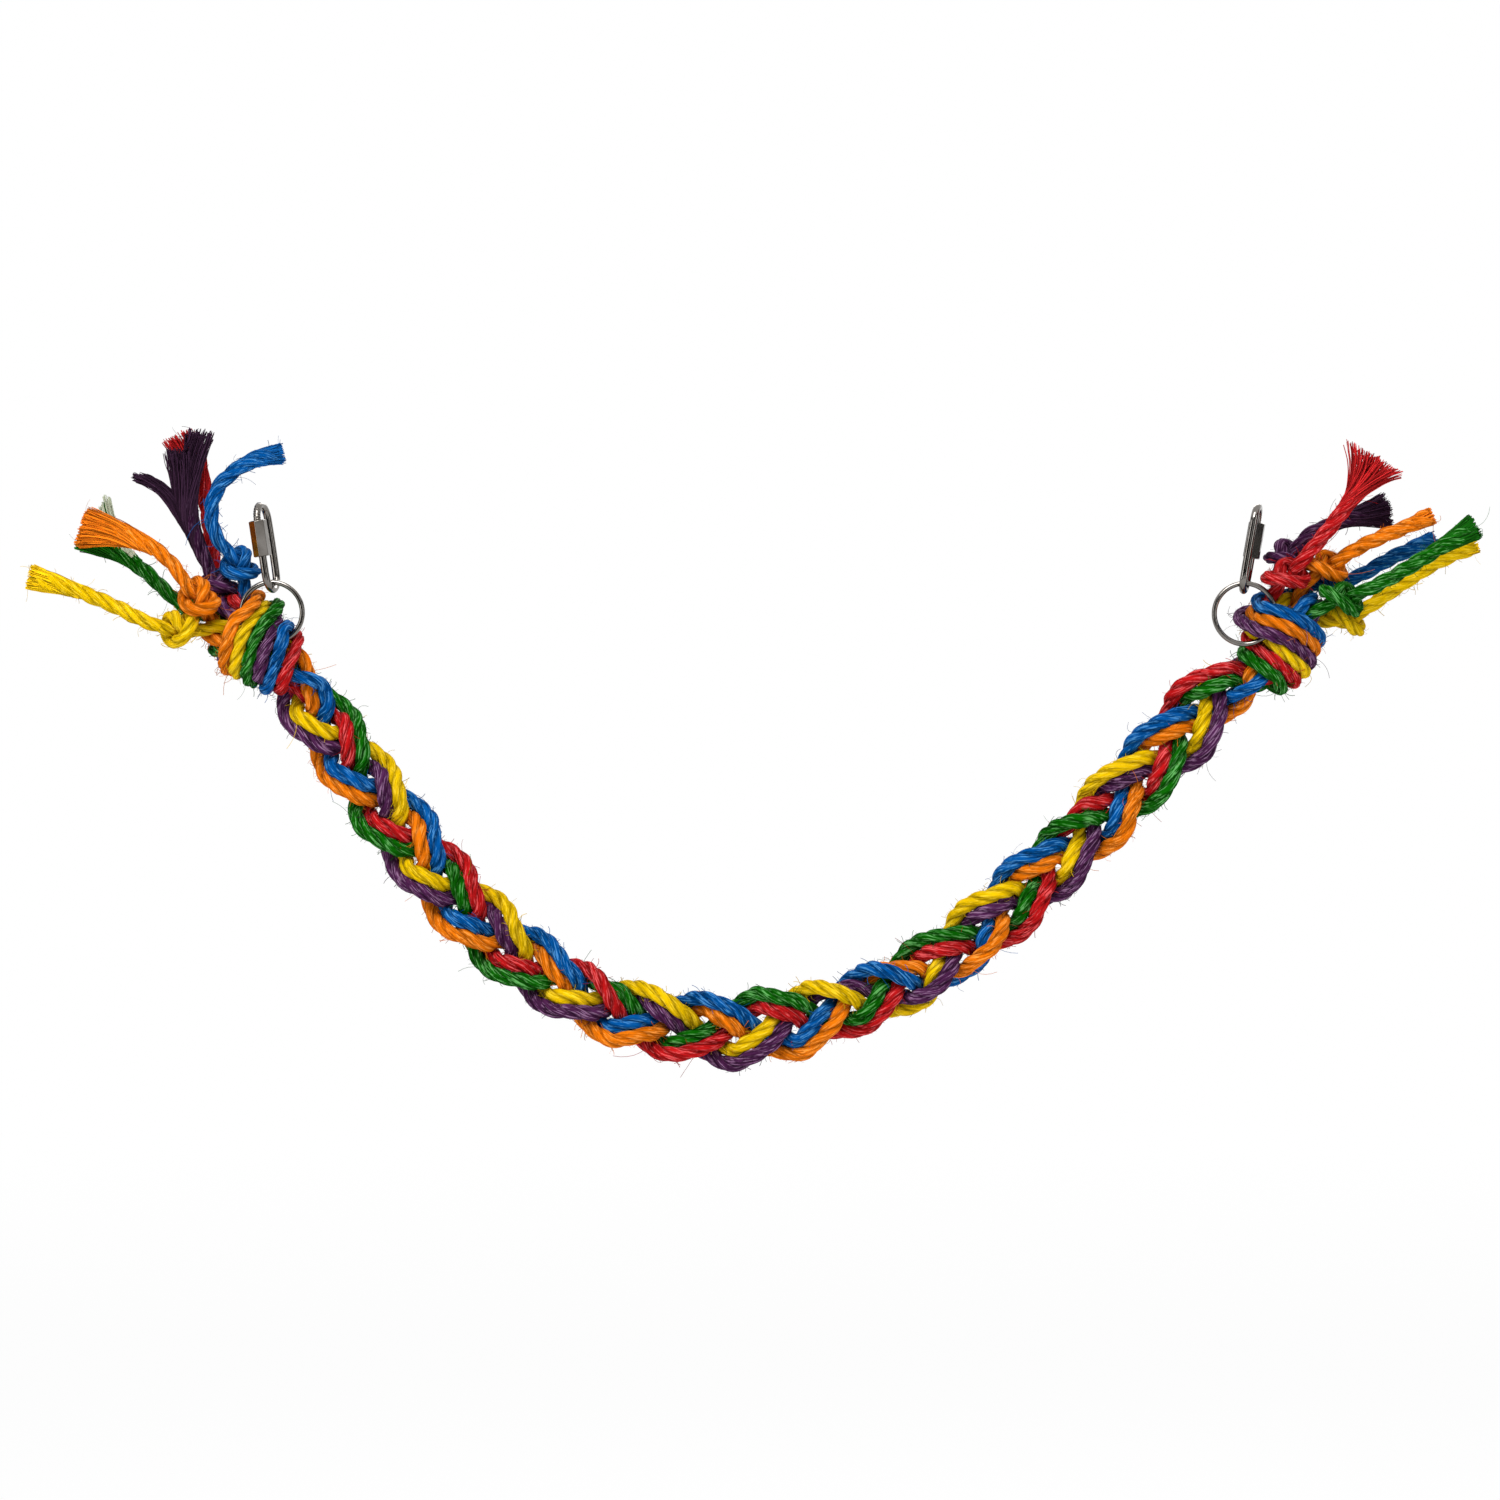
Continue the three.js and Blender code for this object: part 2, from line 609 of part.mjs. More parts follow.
const ropes = Object.keys(DYES).map(ropeLine);
const steel = Object.values(ENDS).flatMap(steelLines);
settle(ropes, steel);
const leastGap = Math.min(...neighbours(rodsOf(ropes, steel)).map(([p, q]) => gap(p, q)));
console.log(`least gap between ropes, and from rope to steel: ${leastGap.toFixed(2)} mm`);

const seats = Object.values(ENDS).map(end => at(0, 0, seatRise).applyMatrix4(linkMatrix(end)));
const bridge = new THREE.Group();
bridge.add(...ropes.flatMap(ropePieces), hardware('left'), hardware('right'));
bridge.position.copy(seats[0].add(seats[1]).multiplyScalar(-0.5));

export default bridge;
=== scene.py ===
# A rope bridge for a bird cage, dressed on its solid model: six dyed sisal ropes in one plait, a knot and
# a ring at each end, frayed tails, and two quick links. Metres, +X along the bridge, +Z up.
import json
import math

import bpy
import numpy as np
from mathutils import Matrix, Vector
from mathutils.kdtree import KDTree


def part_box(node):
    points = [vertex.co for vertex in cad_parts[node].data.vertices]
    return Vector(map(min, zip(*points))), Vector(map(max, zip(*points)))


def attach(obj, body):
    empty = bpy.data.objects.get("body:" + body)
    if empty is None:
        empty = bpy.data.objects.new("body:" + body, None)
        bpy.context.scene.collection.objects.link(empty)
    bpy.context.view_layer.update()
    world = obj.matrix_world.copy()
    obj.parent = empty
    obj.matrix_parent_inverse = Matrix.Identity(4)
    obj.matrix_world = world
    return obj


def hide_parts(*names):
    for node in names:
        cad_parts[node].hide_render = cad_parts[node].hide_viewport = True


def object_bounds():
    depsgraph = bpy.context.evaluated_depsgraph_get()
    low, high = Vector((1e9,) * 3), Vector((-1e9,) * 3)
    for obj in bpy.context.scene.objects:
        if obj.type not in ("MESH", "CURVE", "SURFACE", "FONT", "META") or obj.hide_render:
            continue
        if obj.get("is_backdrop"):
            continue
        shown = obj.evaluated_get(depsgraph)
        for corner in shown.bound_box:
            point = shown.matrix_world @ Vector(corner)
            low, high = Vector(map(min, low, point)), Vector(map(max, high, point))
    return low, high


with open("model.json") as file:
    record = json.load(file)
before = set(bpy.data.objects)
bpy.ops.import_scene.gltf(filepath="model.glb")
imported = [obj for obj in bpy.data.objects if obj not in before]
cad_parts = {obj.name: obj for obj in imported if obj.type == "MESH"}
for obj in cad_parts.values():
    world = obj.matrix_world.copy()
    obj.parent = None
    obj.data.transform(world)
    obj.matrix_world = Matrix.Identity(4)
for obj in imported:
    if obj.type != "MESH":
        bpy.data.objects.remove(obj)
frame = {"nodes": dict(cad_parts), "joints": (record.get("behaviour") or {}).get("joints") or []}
solid_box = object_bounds()
scene = bpy.context.scene
scene.view_settings.view_transform = "Standard"


# The studio. The bridge hangs before a white ground, high over a pale floor, and a long lens looks at it
# straight on. A broad lamp above the lens and weaker ones to either side and behind light it softly, and
# a small lamp puts a glint on the steel.
PICTURE_SPAN = 0.6825
PICTURE_MIDDLE = Vector((-0.0042, 0.008, -0.1090))
LENS_AWAY = 3.2
SENSOR = 36
FLOOR_DROP = 0.35
FLOOR_HALF = 9
FLOOR_PAINT = (0.9, 0.9, 0.9, 1)
# The floor shows as white: by the least share near its middle, and altogether far away.
FLOOR_WHITE = {"near": 0.5, "far": 6.0, "least": 0.95}
WHITE = (1, 1, 1, 1)
SKY = (0.97, 0.98, 1, 1)
SKY_LEVEL = 0.32
LAMPS = {
    "lamp_above": {"place": (-0.3, -1.5, 1.5), "width": 1.3, "power": 49},
    "lamp_left": {"place": (-1.7, -1.1, 0.3), "width": 1.2, "power": 14},
    "lamp_right": {"place": (1.6, -1.3, 0.1), "width": 1.2, "power": 11},
    "lamp_behind": {"place": (0.2, 1.4, 1.1), "width": 1.4, "power": 20},
    "lamp_glint": {"place": (0.32, -1.38, 0.23), "width": 0.4, "power": 0.5},
}
# Black felt cards behind the lens and to either side. Only the steel shows them, as dark lines.
FELT = (0.03, 0.03, 0.03, 1)
CARDS = {
    "card_lens": {"place": (0.0, -3.7, 0.1), "size": (3.6, 2.6)},
    "card_left": {"place": (-1.0, -1.35, 0.1), "size": (0.95, 1.6)},
    "card_right": {"place": (1.02, -1.22, 0.1), "size": (0.85, 1.6)},
    "card_far_left": {"place": (-2.9, -0.3, 0.0), "size": (2.4, 3.0)},
    "card_far_right": {"place": (2.9, -0.3, 0.0), "size": (2.4, 3.0)},
}


class Wire:
    """The output of a node, with sums on it written as plain Python."""

    def __init__(self, maker, socket):
        self.maker = maker
        self.socket = socket

    def maths(self, operation, first, second=0.0):
        return self.maker.add("ShaderNodeMath", {"operation": operation}, {0: first, 1: second})

    def __add__(self, other):
        return self.maths("ADD", self, other)

    def __mul__(self, other):
        return self.maths("MULTIPLY", self, other)

    def __sub__(self, other):
        return self.maths("SUBTRACT", self, other)

    def __rsub__(self, other):
        return self.maths("SUBTRACT", other, self)

    def __truediv__(self, other):
        return self.maths("DIVIDE", self, other)

    def __pow__(self, other):
        return self.maths("POWER", self, other)

    __radd__ = __add__
    __rmul__ = __mul__


class Maker:
    """Adds nodes to one tree, each with its settings first and then the values or links of its sockets."""

    def __init__(self, tree):
        self.tree = tree
        tree.nodes.clear()

    def add(self, kind, settings=None, values=None, output=0):
        made = self.tree.nodes.new(kind)
        for name, value in (settings or {}).items():
            setattr(made, name, value)
        for name, value in (values or {}).items():
            if isinstance(value, Wire):
                self.tree.links.new(value.socket, made.inputs[name])
            else:
                made.inputs[name].default_value = value
        return Wire(self, made.outputs[output] if len(made.outputs) else None)

    def mix(self, share, first, second):
        """A colour between two, by a share of the second."""
        return self.add("ShaderNodeMix", {"data_type": "RGBA"}, {"Factor": share, 6: first, 7: second}, 2)

    def between(self, value, low, high, least=0.0, most=1.0):
        """Least where a value is low, most where it is high, and even steps between them."""
        return self.add("ShaderNodeMapRange", None, {0: value, 1: low, 2: high, 3: least, 4: most})


def new_finish(name):
    """An empty material, and the maker of its nodes."""
    material = bpy.data.materials.new(name)
    material.use_nodes = True
    return material, Maker(material.node_tree)


camera = bpy.data.objects.new("camera", bpy.data.cameras.new("camera"))
scene.collection.objects.link(camera)
camera.location = PICTURE_MIDDLE - Vector((0, LENS_AWAY, 0))
camera.rotation_euler = (math.pi / 2, 0, 0)
camera.data.sensor_width = SENSOR
camera.data.lens = SENSOR * LENS_AWAY / PICTURE_SPAN
scene.camera = camera

for name, lamp in LAMPS.items():
    light = bpy.data.lights.new(name, "AREA")
    light.size = lamp["width"]
    light.energy = lamp["power"]
    holder = bpy.data.objects.new(name, light)
    scene.collection.objects.link(holder)
    holder.location = Vector(lamp["place"]) + PICTURE_MIDDLE
    holder.rotation_euler = (-Vector(lamp["place"])).to_track_quat("-Z", "Y").to_euler()


def stage_board(name, outline, material):
    """A flat board of the studio, from its four corners, which is no part of the bridge."""
    board = bpy.data.objects.new(name, bpy.data.meshes.new(name))
    board.data.from_pydata(outline, [], [(0, 1, 2, 3)])
    board.data.materials.append(material)
    scene.collection.objects.link(board)
    board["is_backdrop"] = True
    return board


felt, make = new_finish("felt")
black = make.add("ShaderNodeBsdfDiffuse", None, {"Color": FELT})
make.add("ShaderNodeOutputMaterial", None, {"Surface": black})
for name, card in CARDS.items():
    x, z = Vector(card["size"]) / 2
    board = stage_board(name, [(-x, 0, -z), (x, 0, -z), (x, 0, z), (-x, 0, z)], felt)
    board.location = Vector(card["place"]) + PICTURE_MIDDLE
    board.rotation_euler = (-Vector(card["place"])).to_track_quat("Y", "Z").to_euler()
    board.visible_camera = False
    board.visible_diffuse = False
    board.visible_shadow = False


def seen_directly(make):
    """1 for rays that show the background by itself, in a mirror or through glass, else 0."""
    rays = make.add("ShaderNodeLightPath").socket.node
    shown = [Wire(make, rays.outputs[f"Is {kind} Ray"]) for kind in ("Camera", "Glossy", "Transmission")]
    total = shown[0] + shown[1] + shown[2]
    return total.maths("MINIMUM", total, 1.0)


scene.world = scene.world or bpy.data.worlds.new("studio")
scene.world.use_nodes = True
make = Maker(scene.world.node_tree)
white = make.add("ShaderNodeBackground", None, {"Color": WHITE, "Strength": 1.0})
soft = make.add("ShaderNodeBackground", None, {"Color": SKY, "Strength": SKY_LEVEL})
sky = make.add("ShaderNodeMixShader", None, {0: seen_directly(make), 1: soft, 2: white})
make.add("ShaderNodeOutputWorld", None, {"Surface": sky})

floor_paint, make = new_finish("floor_paint")
paint = make.add("ShaderNodeBsdfDiffuse", None, {"Color": FLOOR_PAINT})
glow = make.add("ShaderNodeEmission", None, {"Color": WHITE, "Strength": 1.0})
place = make.add("ShaderNodeTexCoord", None, None, "Object")
away = make.add("ShaderNodeVectorMath", {"operation": "LENGTH"}, {0: place}, "Value")
whiter = make.add("ShaderNodeMapRange", {"interpolation_type": "SMOOTHSTEP"}, {
    0: away, 1: FLOOR_WHITE["near"], 2: FLOOR_WHITE["far"], 3: FLOOR_WHITE["least"], 4: 1.0})
pale = make.add("ShaderNodeMixShader", None, {0: seen_directly(make) * whiter, 1: paint, 2: glow})
make.add("ShaderNodeOutputMaterial", None, {"Surface": pale})
level = solid_box[0].z - FLOOR_DROP
signs = ((-1, -1), (1, -1), (1, 1), (-1, 1))
stage_board("floor", [(x * FLOOR_HALF, y * FLOOR_HALF, level) for x, y in signs], floor_paint)


# The six ropes. Each is three strands of dyed sisal laid together, right-handed, and runs unbroken from
# one frayed end, through a stopper, a big knot, the plait, and the other big knot and stopper, to the other.
# The laid rope follows the middle line of its solids, and the three strands wind round that line.
ROPE = 0.006
LAY = 0.028
STRANDS = 3
STRAND_RADIUS = 0.00200
STRAND_OFFSET = 0.00128
STRAND_SIDES = 10
# A loosely laid rope is this much fuller than its solid.
SWELL = 1.13
# No strand lies quite evenly: how often it wanders in a metre, how unlike the next strand, and by how much
# in its turn (radians), its reach and its girth (the least share, and what the wandering adds).
WANDER = 90
WANDER_APART = 37
WANDER_TURN = 0.7
WANDER_REACH = (0.96, 0.08)
WANDER_GIRTH = (0.93, 0.12)
# Where a tail comes unlaid its strands part, and thin as their fibres leave them: all along in an open
# tail, and only close to the cut in one that keeps a core.
OPEN_PARTS = 0.3
CORE_PARTS = 0.6
OPEN_THINS = 0.7
CORE_THINS = 0.75
CORE_THINS_LATE = 8
# The ropes leave this much room to the steel, wherever it rocks, swings or slides to.
STEEL_ROOM = 0.0004
LEAST_GIRTH = 0.78
# How finely the steel's faces and its ways are tried out to find that room.
STEEL_STEP = 0.002
ROCK_PLACES = 3
SWING_PLACES = 13
# The step of a rope's line, the points of the line to either side over which a change of girth is eased, the
# cuts of the smooth curve from one ring of a solid's corners to the next, and the corners of such a ring.
LINE_STEP = 0.0014
EASE = 2
CUTS = 12
SOLID_SIDES = 5
# Any direction that no rope or wire sets out in.
ASKEW = (0.3, 1.0, 0.2)
DYES = {
    "yellow": (220, 178, 0),
    "purple": (72, 31, 70),
    "blue": (0, 76, 146),
    "orange": (220, 110, 6),
    "green": (6, 86, 0),
    "red": (174, 18, 20),
}
# How dark the deepest fibres of a dye are, as a share of its colour, and how far a pale dye evens that out.
DEEPEST = 0.34
PALE_EVENS = 0.00075
# Painted highlights: how much lighter than its dye a fibre's painted glint is, and how far a pale dye dulls
# that.
PAINTED_GLINT_KEEP = 0.85
PAINTED_GLINT_LIFT = 96
PALE_DULLS = 0.13
# What worn fibres keep of their dye, and how much paler they are.
WORN = (1.02, 9)
# Fibres wind round a strand so often in a metre, and show as streaks and, finer, as glints (bumps, and a
# painted highlight in the colour), whose grain is given round the strand and along it.
FIBRE_TWIST = 8
GRAIN = {
    "streak": {"round": 1.5, "along": 75, "detail": 5.0, "roughness": 0.78},
    "glint": {"round": 3.0, "along": 200, "detail": 2.0, "roughness": 0.6},
}
# Where a streak turns from deep to full dye, and on to worn, and where a painted glint, a painted highlight,
# lights up.
FULL_DYE = (0.36, 0.54)
WORN_DYE = (0.52, 0.66)
PAINTED_GLINT_RANGE = (0.525, 0.62)
# Clouds in the dye: their grain, their share in the wear, and the least shade with what they add to it.
CLOUD = 55.0
CLOUD_WEARS = 0.2
CLOUD_SHADE = (0.8, 0.4)
# The groove between strands, from its foot to the crown, and the share of colour left at its foot: painted
# shade, darkest where the strands meet.
GROOVE = (0.68, 0.92)
GROOVE_PAINTED_SHADE = 0.45
SISAL_BUMP = 0.0010
GLINT_BUMP = 0.6
SISAL_ROUGH = 0.86
STREAK_SMOOTHS = 0.3
# The tails that took up more dye than the rest of their rope, how much darker they came out, and where that
# sets in and is full, in metres past the start of the tail.
SOAKED = {"purple": 0.45}
SOAK_FROM = -0.030
SOAK_FULL = 0.010
# How far each tail is unlaid, in metres from its cut end.
LOOSE = {
    "left": {"yellow": 0.024, "orange": 0.034, "green": 0.030, "purple": 0.060, "red": 0.030, "blue": 0.020},
    "right": {"red": 0.030, "purple": 0.026, "orange": 0.010, "blue": 0.010, "green": 0.020, "yellow": 0.009},
}
# The tails whose strands swell at the cut but keep together, as a core under the loose fibres.
CORED = {"left": ("yellow", "orange", "blue"), "right": ("orange", "blue", "green", "yellow")}


def linear(colour, keep=1.0, lift=0.0):
    """A colour as it looks on a screen, 0 to 255, deepened to a share or lifted, as light."""
    parts = [(c * keep + lift) / 255 for c in colour]
    return tuple(p / 12.92 if p < 0.04045 else ((p + 0.055) / 1.055) ** 2.4 for p in parts) + (1.0,)


def corners(node):
    """The corners of a solid, each once, and which of them share an edge."""
    mesh = frame["nodes"][node].data
    places = np.array([v.co for v in mesh.vertices])
    places, index = np.unique(np.round(places, 7), axis=0, return_inverse=True)
    beside = [set() for _ in places]
    for face in mesh.polygons:
        ring = [index.ravel()[v] for v in face.vertices]
        for a, b in zip(ring, ring[1:] + ring[:1]):
            beside[a].add(b)
            beside[b].add(a)
    return places, beside


def middle_line(node, next_to, sides):
    """The middles and radii of the rings of corners of a swept solid, from the end that faces next_to."""
    places, beside = corners(node)
    away = np.min(np.linalg.norm(places[:, None] - next_to[None], axis=2), axis=1)
    ring = set(np.argsort(away)[:sides].tolist())
    seen = set()
    line = []
    radii = []
    while ring:
        round_here = places[list(ring)]
        line.append(round_here.mean(axis=0))
        radii.append(np.linalg.norm(round_here - line[-1], axis=1).mean())
        seen |= ring
        ring = set().union(*(beside[i] for i in ring)) - seen
    return np.array(line), np.array(radii)


def smooth(points, step):
    """A smooth line through the points, with a point every step or so, and how far along it lie its own
    points and the given ones."""
    ends = np.vstack([2 * points[0] - points[1], points, 2 * points[-1] - points[-2]])
    fine = []
    for p0, p1, p2, p3 in zip(ends, ends[1:], ends[2:], ends[3:]):
        pairs = ((p0, p1), (p1, p2), (p2, p3))
        t0, t1, t2, t3 = np.cumsum([0] + [np.sqrt(np.linalg.norm(b - a)) for a, b in pairs])
        for t in np.linspace(t1, t2, CUTS, endpoint=False):
            a1 = (t1 - t) / (t1 - t0) * p0 + (t - t0) / (t1 - t0) * p1
            a2 = (t2 - t) / (t2 - t1) * p1 + (t - t1) / (t2 - t1) * p2
            a3 = (t3 - t) / (t3 - t2) * p2 + (t - t2) / (t3 - t2) * p3
            b1 = (t2 - t) / (t2 - t0) * a1 + (t - t0) / (t2 - t0) * a2
            b2 = (t3 - t) / (t3 - t1) * a2 + (t - t1) / (t3 - t1) * a3
            fine.append((t2 - t) / (t2 - t1) * b1 + (t - t1) / (t2 - t1) * b2)
    fine = np.array(fine + [points[-1]])
    run = np.concatenate([[0], np.cumsum(np.linalg.norm(np.diff(fine, axis=0), axis=1))])
    even = np.linspace(0, run[-1], int(round(run[-1] / step)) + 1)
    return np.stack([np.interp(even, run, fine[:, k]) for k in range(3)], axis=1), even, run[::CUTS]


def headings(line):
    """The way that a line runs at each point, and a direction across it that turns no more than it must."""
    heading = np.gradient(line, axis=0)
    heading /= np.linalg.norm(heading, axis=1)[:, None]
    across = np.cross(heading[0], ASKEW)
    turned = []
    for way in heading:
        across = across - way * (across @ way)
        across = across / np.linalg.norm(across)
        turned.append(across)
    return heading, np.array(turned)


def skin_points(node):
    """Points all over the faces of a solid."""
    mesh = frame["nodes"][node].data
    points = []
    for face in mesh.polygons:
        corner = [np.array(mesh.vertices[v].co) for v in face.vertices]
        facing = [np.linalg.norm(corner[k - 1] - corner[k - 2]) for k in range(3)]
        a, b, c = np.roll(corner, -int(np.argmax(facing)), axis=0)
        across, down = (int(np.ceil(np.linalg.norm(p - a) / STEEL_STEP)) for p in (b, c))
        i, j = (k.ravel()[:, None] for k in np.mgrid[0:across + 1, 0:down + 1])
        i, j = i / across, j / down
        inside = (i + j < 1.001).ravel()
        points.append((a + (b - a) * i + (c - a) * j)[inside])
    return np.unique(np.round(np.vstack(points), 6), axis=0)


def moved(points, joint, value):
    """Points of a rigid piece after its joint has turned or slid from rest."""
    if joint["type"] == "slide":
        return points + np.array(joint["axis"]) * value
    turned = np.array(Matrix.Rotation(math.radians(value), 3, Vector(joint["axis"])))
    return (points - joint["pos_m"]) @ turned.T + joint["pos_m"]


reached = []
joints = {joint["name"]: joint for joint in frame["joints"]}
for end in ("left", "right"):
    rock, swing, slide = (joints[f"{end}_{way}"] for way in ("ring_rock", "link_swing", "nut_slide"))
    ring, link, nut = (skin_points(f"{end}_{piece}") for piece in ("ring", "quick_link", "sleeve_nut"))
    hung = np.vstack([link] + [moved(nut, slide, value) for value in slide["range_m"]])
    hung = np.vstack([moved(hung, swing, value) for value in np.linspace(*swing["range_deg"], SWING_PLACES)])
    for value in np.linspace(*rock["range_deg"], ROCK_PLACES):
        reached.append(moved(np.vstack([ring, hung]), rock, value))
reached = np.vstack(reached)
steel_reach = KDTree(len(reached))
for number, point in enumerate(reached):
    steel_reach.insert(point, number)
steel_reach.balance()


def line_object(name, line, **facts):
    """A chain of edges along a line that carries facts about each of its points."""
    mesh = bpy.data.meshes.new(name)
    mesh.from_pydata(line.tolist(), [(i, i + 1) for i in range(len(line) - 1)], [])
    for fact, values in facts.items():
        kind, field = ("FLOAT", "value") if values.ndim == 1 else ("FLOAT_VECTOR", "vector")
        mesh.attributes.new(fact, kind, "POINT").data.foreach_set(field, values.astype(np.float32).ravel())
    made = bpy.data.objects.new(name, mesh)
    scene.collection.objects.link(made)
    return made


class Grower(Maker):
    """Geometry nodes that turn a line object into a finished piece, with named inputs for its sizes."""

    def __init__(self, name, sizes):
        super().__init__(bpy.data.node_groups.new(name, "GeometryNodeTree"))
        face = self.tree.interface
        face.new_socket("Geometry", in_out="INPUT", socket_type="NodeSocketGeometry")
        face.new_socket("Geometry", in_out="OUTPUT", socket_type="NodeSocketGeometry")
        kinds = {float: "NodeSocketFloat", int: "NodeSocketInt", tuple: "NodeSocketVector"}
        kinds[bpy.types.Material] = "NodeSocketMaterial"
        for size, kind in sizes.items():
            face.new_socket(size, in_out="INPUT", socket_type=kinds[kind])
        self.entry = self.tree.nodes.new("NodeGroupInput")

    def given(self, size):
        """One of the tree's named inputs."""
        return Wire(self, self.entry.outputs[size])

    def fact(self, name, kind="FLOAT"):
        """What each point of the line carries under a name."""
        return self.add("GeometryNodeInputNamedAttribute", {"data_type": kind}, {"Name": name})

    def chance(self, seed, low=0.0, high=1.0, of=None):
        """A random number for each point, or the same one wherever a given number is the same."""
        values = {2: low, 3: high, "Seed": seed}
        if of is not None:
            values["ID"] = of
        return self.add("FunctionNodeRandomValue", {"data_type": "FLOAT"}, values, 1)

    def vector(self, operation, first, second):
        """A sum on two vectors, or on a vector and the number that scales it."""
        other = "Scale" if operation == "SCALE" else 1
        return self.add("ShaderNodeVectorMath", {"operation": operation}, {0: first, other: second})

    def round_about(self, turn):
        """The direction out from the line, at an angle round it."""
        across = self.fact("across", "FLOAT_VECTOR")
        beside = self.vector("CROSS_PRODUCT", self.fact("heading", "FLOAT_VECTOR"), across)
        cosine = turn.maths("COSINE", turn)
        sine = turn.maths("SINE", turn)
        return self.vector("ADD", self.vector("SCALE", across, cosine), self.vector("SCALE", beside, sine))

    def store(self, geometry, name, value, kind="FLOAT"):
        """Keeps a value on each point under a name, for later nodes and for the material."""
        settings = {"data_type": kind, "domain": "POINT"}
        values = {0: geometry, "Name": name, "Value": value}
        return self.add("GeometryNodeStoreNamedAttribute", settings, values)

    def end(self, geometry):
        """Closes the tree: the result is made real, shaded smooth and given its material."""
        smoothed = self.add("GeometryNodeSetShadeSmooth", None, {"Geometry": geometry})
        real = self.add("GeometryNodeRealizeInstances", None, {"Geometry": smoothed})
        dressed = self.add("GeometryNodeSetMaterial", None, {
            "Geometry": real, "Material": self.given("Material")})
        self.add("NodeGroupOutput", None, {"Geometry": dressed})

    def grow(self, target, **sizes):
        """Runs the tree on an object, with its sizes, and leaves the result there as a plain mesh."""
        modifier = target.modifiers.new(self.tree.name, "NODES")
        modifier.node_group = self.tree
        for item in self.tree.interface.items_tree:
            if item.in_out == "INPUT" and item.name in sizes:
                modifier[item.identifier] = sizes[item.name]
        bpy.context.view_layer.update()
        ready = target.evaluated_get(bpy.context.evaluated_depsgraph_get())
        mesh = bpy.data.meshes.new_from_object(ready)
        target.modifiers.clear()
        target.data = mesh
        return target


lay_up = Grower("laid_strands", {
    "Lay": float, "Offset": float, "Strand": float, "Material": bpy.types.Material})
line = lay_up.add("GeometryNodeMeshToCurve", None, {"Mesh": lay_up.given("Geometry")})
line = lay_up.store(line, "axis", lay_up.add("GeometryNodeInputPosition"), "FLOAT_VECTOR")
strands = lay_up.add("GeometryNodeDuplicateElements", {"domain": "SPLINE"}, {
    "Geometry": line, "Amount": STRANDS})
strand = Wire(lay_up, strands.socket.node.outputs["Duplicate Index"])
along = lay_up.fact("along")
loose = lay_up.fact("loose")
girth = lay_up.fact("girth")
core = lay_up.fact("core")
uneven = lay_up.add("ShaderNodeTexNoise", {"noise_dimensions": "1D"}, {
    "W": along * WANDER + strand * WANDER_APART, "Scale": 1.0})
turn = along * (2 * math.pi) / lay_up.given("Lay") + strand * (2 * math.pi / STRANDS) + uneven * WANDER_TURN
parted = 1 + loose * (OPEN_PARTS + core * CORE_PARTS)
reach = lay_up.given("Offset") * girth * parted * (WANDER_REACH[0] + uneven * WANDER_REACH[1])
thinned = core * loose ** CORE_THINS_LATE * CORE_THINS + (1 - core) * loose * OPEN_THINS
thickness = girth * (1 - thinned) * (WANDER_GIRTH[0] + uneven * WANDER_GIRTH[1])
placed = lay_up.add("GeometryNodeSetPosition", None, {
    "Geometry": strands, "Offset": lay_up.vector("SCALE", lay_up.round_about(turn), reach)})
section = lay_up.add("GeometryNodeCurvePrimitiveCircle", None, {
    "Resolution": STRAND_SIDES, "Radius": lay_up.given("Strand")})
section = lay_up.store(section, "around", lay_up.add("GeometryNodeInputIndex") * (1 / STRAND_SIDES))
swept = lay_up.add("GeometryNodeCurveToMesh", None, {
    "Curve": placed, "Profile Curve": section, "Scale": thickness, "Fill Caps": True})
# How far out from the rope's line each point lies, which the finish uses for its painted shade in the grooves
# between strands.
out = lay_up.vector("SUBTRACT", lay_up.add("GeometryNodeInputPosition"), lay_up.fact("axis", "FLOAT_VECTOR"))
crown = lay_up.add("ShaderNodeVectorMath", {"operation": "LENGTH"}, {0: out}, "Value") / girth
lay_up.end(lay_up.store(swept, "crown", crown / (STRAND_OFFSET + STRAND_RADIUS)))


def unroll(piece):
    """Gives a swept piece a map: once round each strand is 1, and metres along the rope run up it."""
    mesh = piece.data
    facts = {}
    for name in ("around", "along"):
        facts[name] = np.zeros(len(mesh.vertices), np.float32)
        mesh.attributes[name].data.foreach_get("value", facts[name])
    at = np.zeros(len(mesh.loops), np.int32)
    mesh.loops.foreach_get("vertex_index", at)
    size = np.zeros(len(mesh.polygons), np.int32)
    mesh.polygons.foreach_get("loop_total", size)
    face = np.repeat(np.arange(len(size)), size)
    around = facts["around"][at]
    most = np.zeros(len(size), np.float32)
    np.maximum.at(most, face, around)
    around = np.where(most[face] - around > 0.5, around + 1, around)
    sheet = mesh.uv_layers.new(name="strand_map")
    sheet.data.foreach_set("uv", np.stack([around, facts["along"][at]], axis=1).astype(np.float32).ravel())


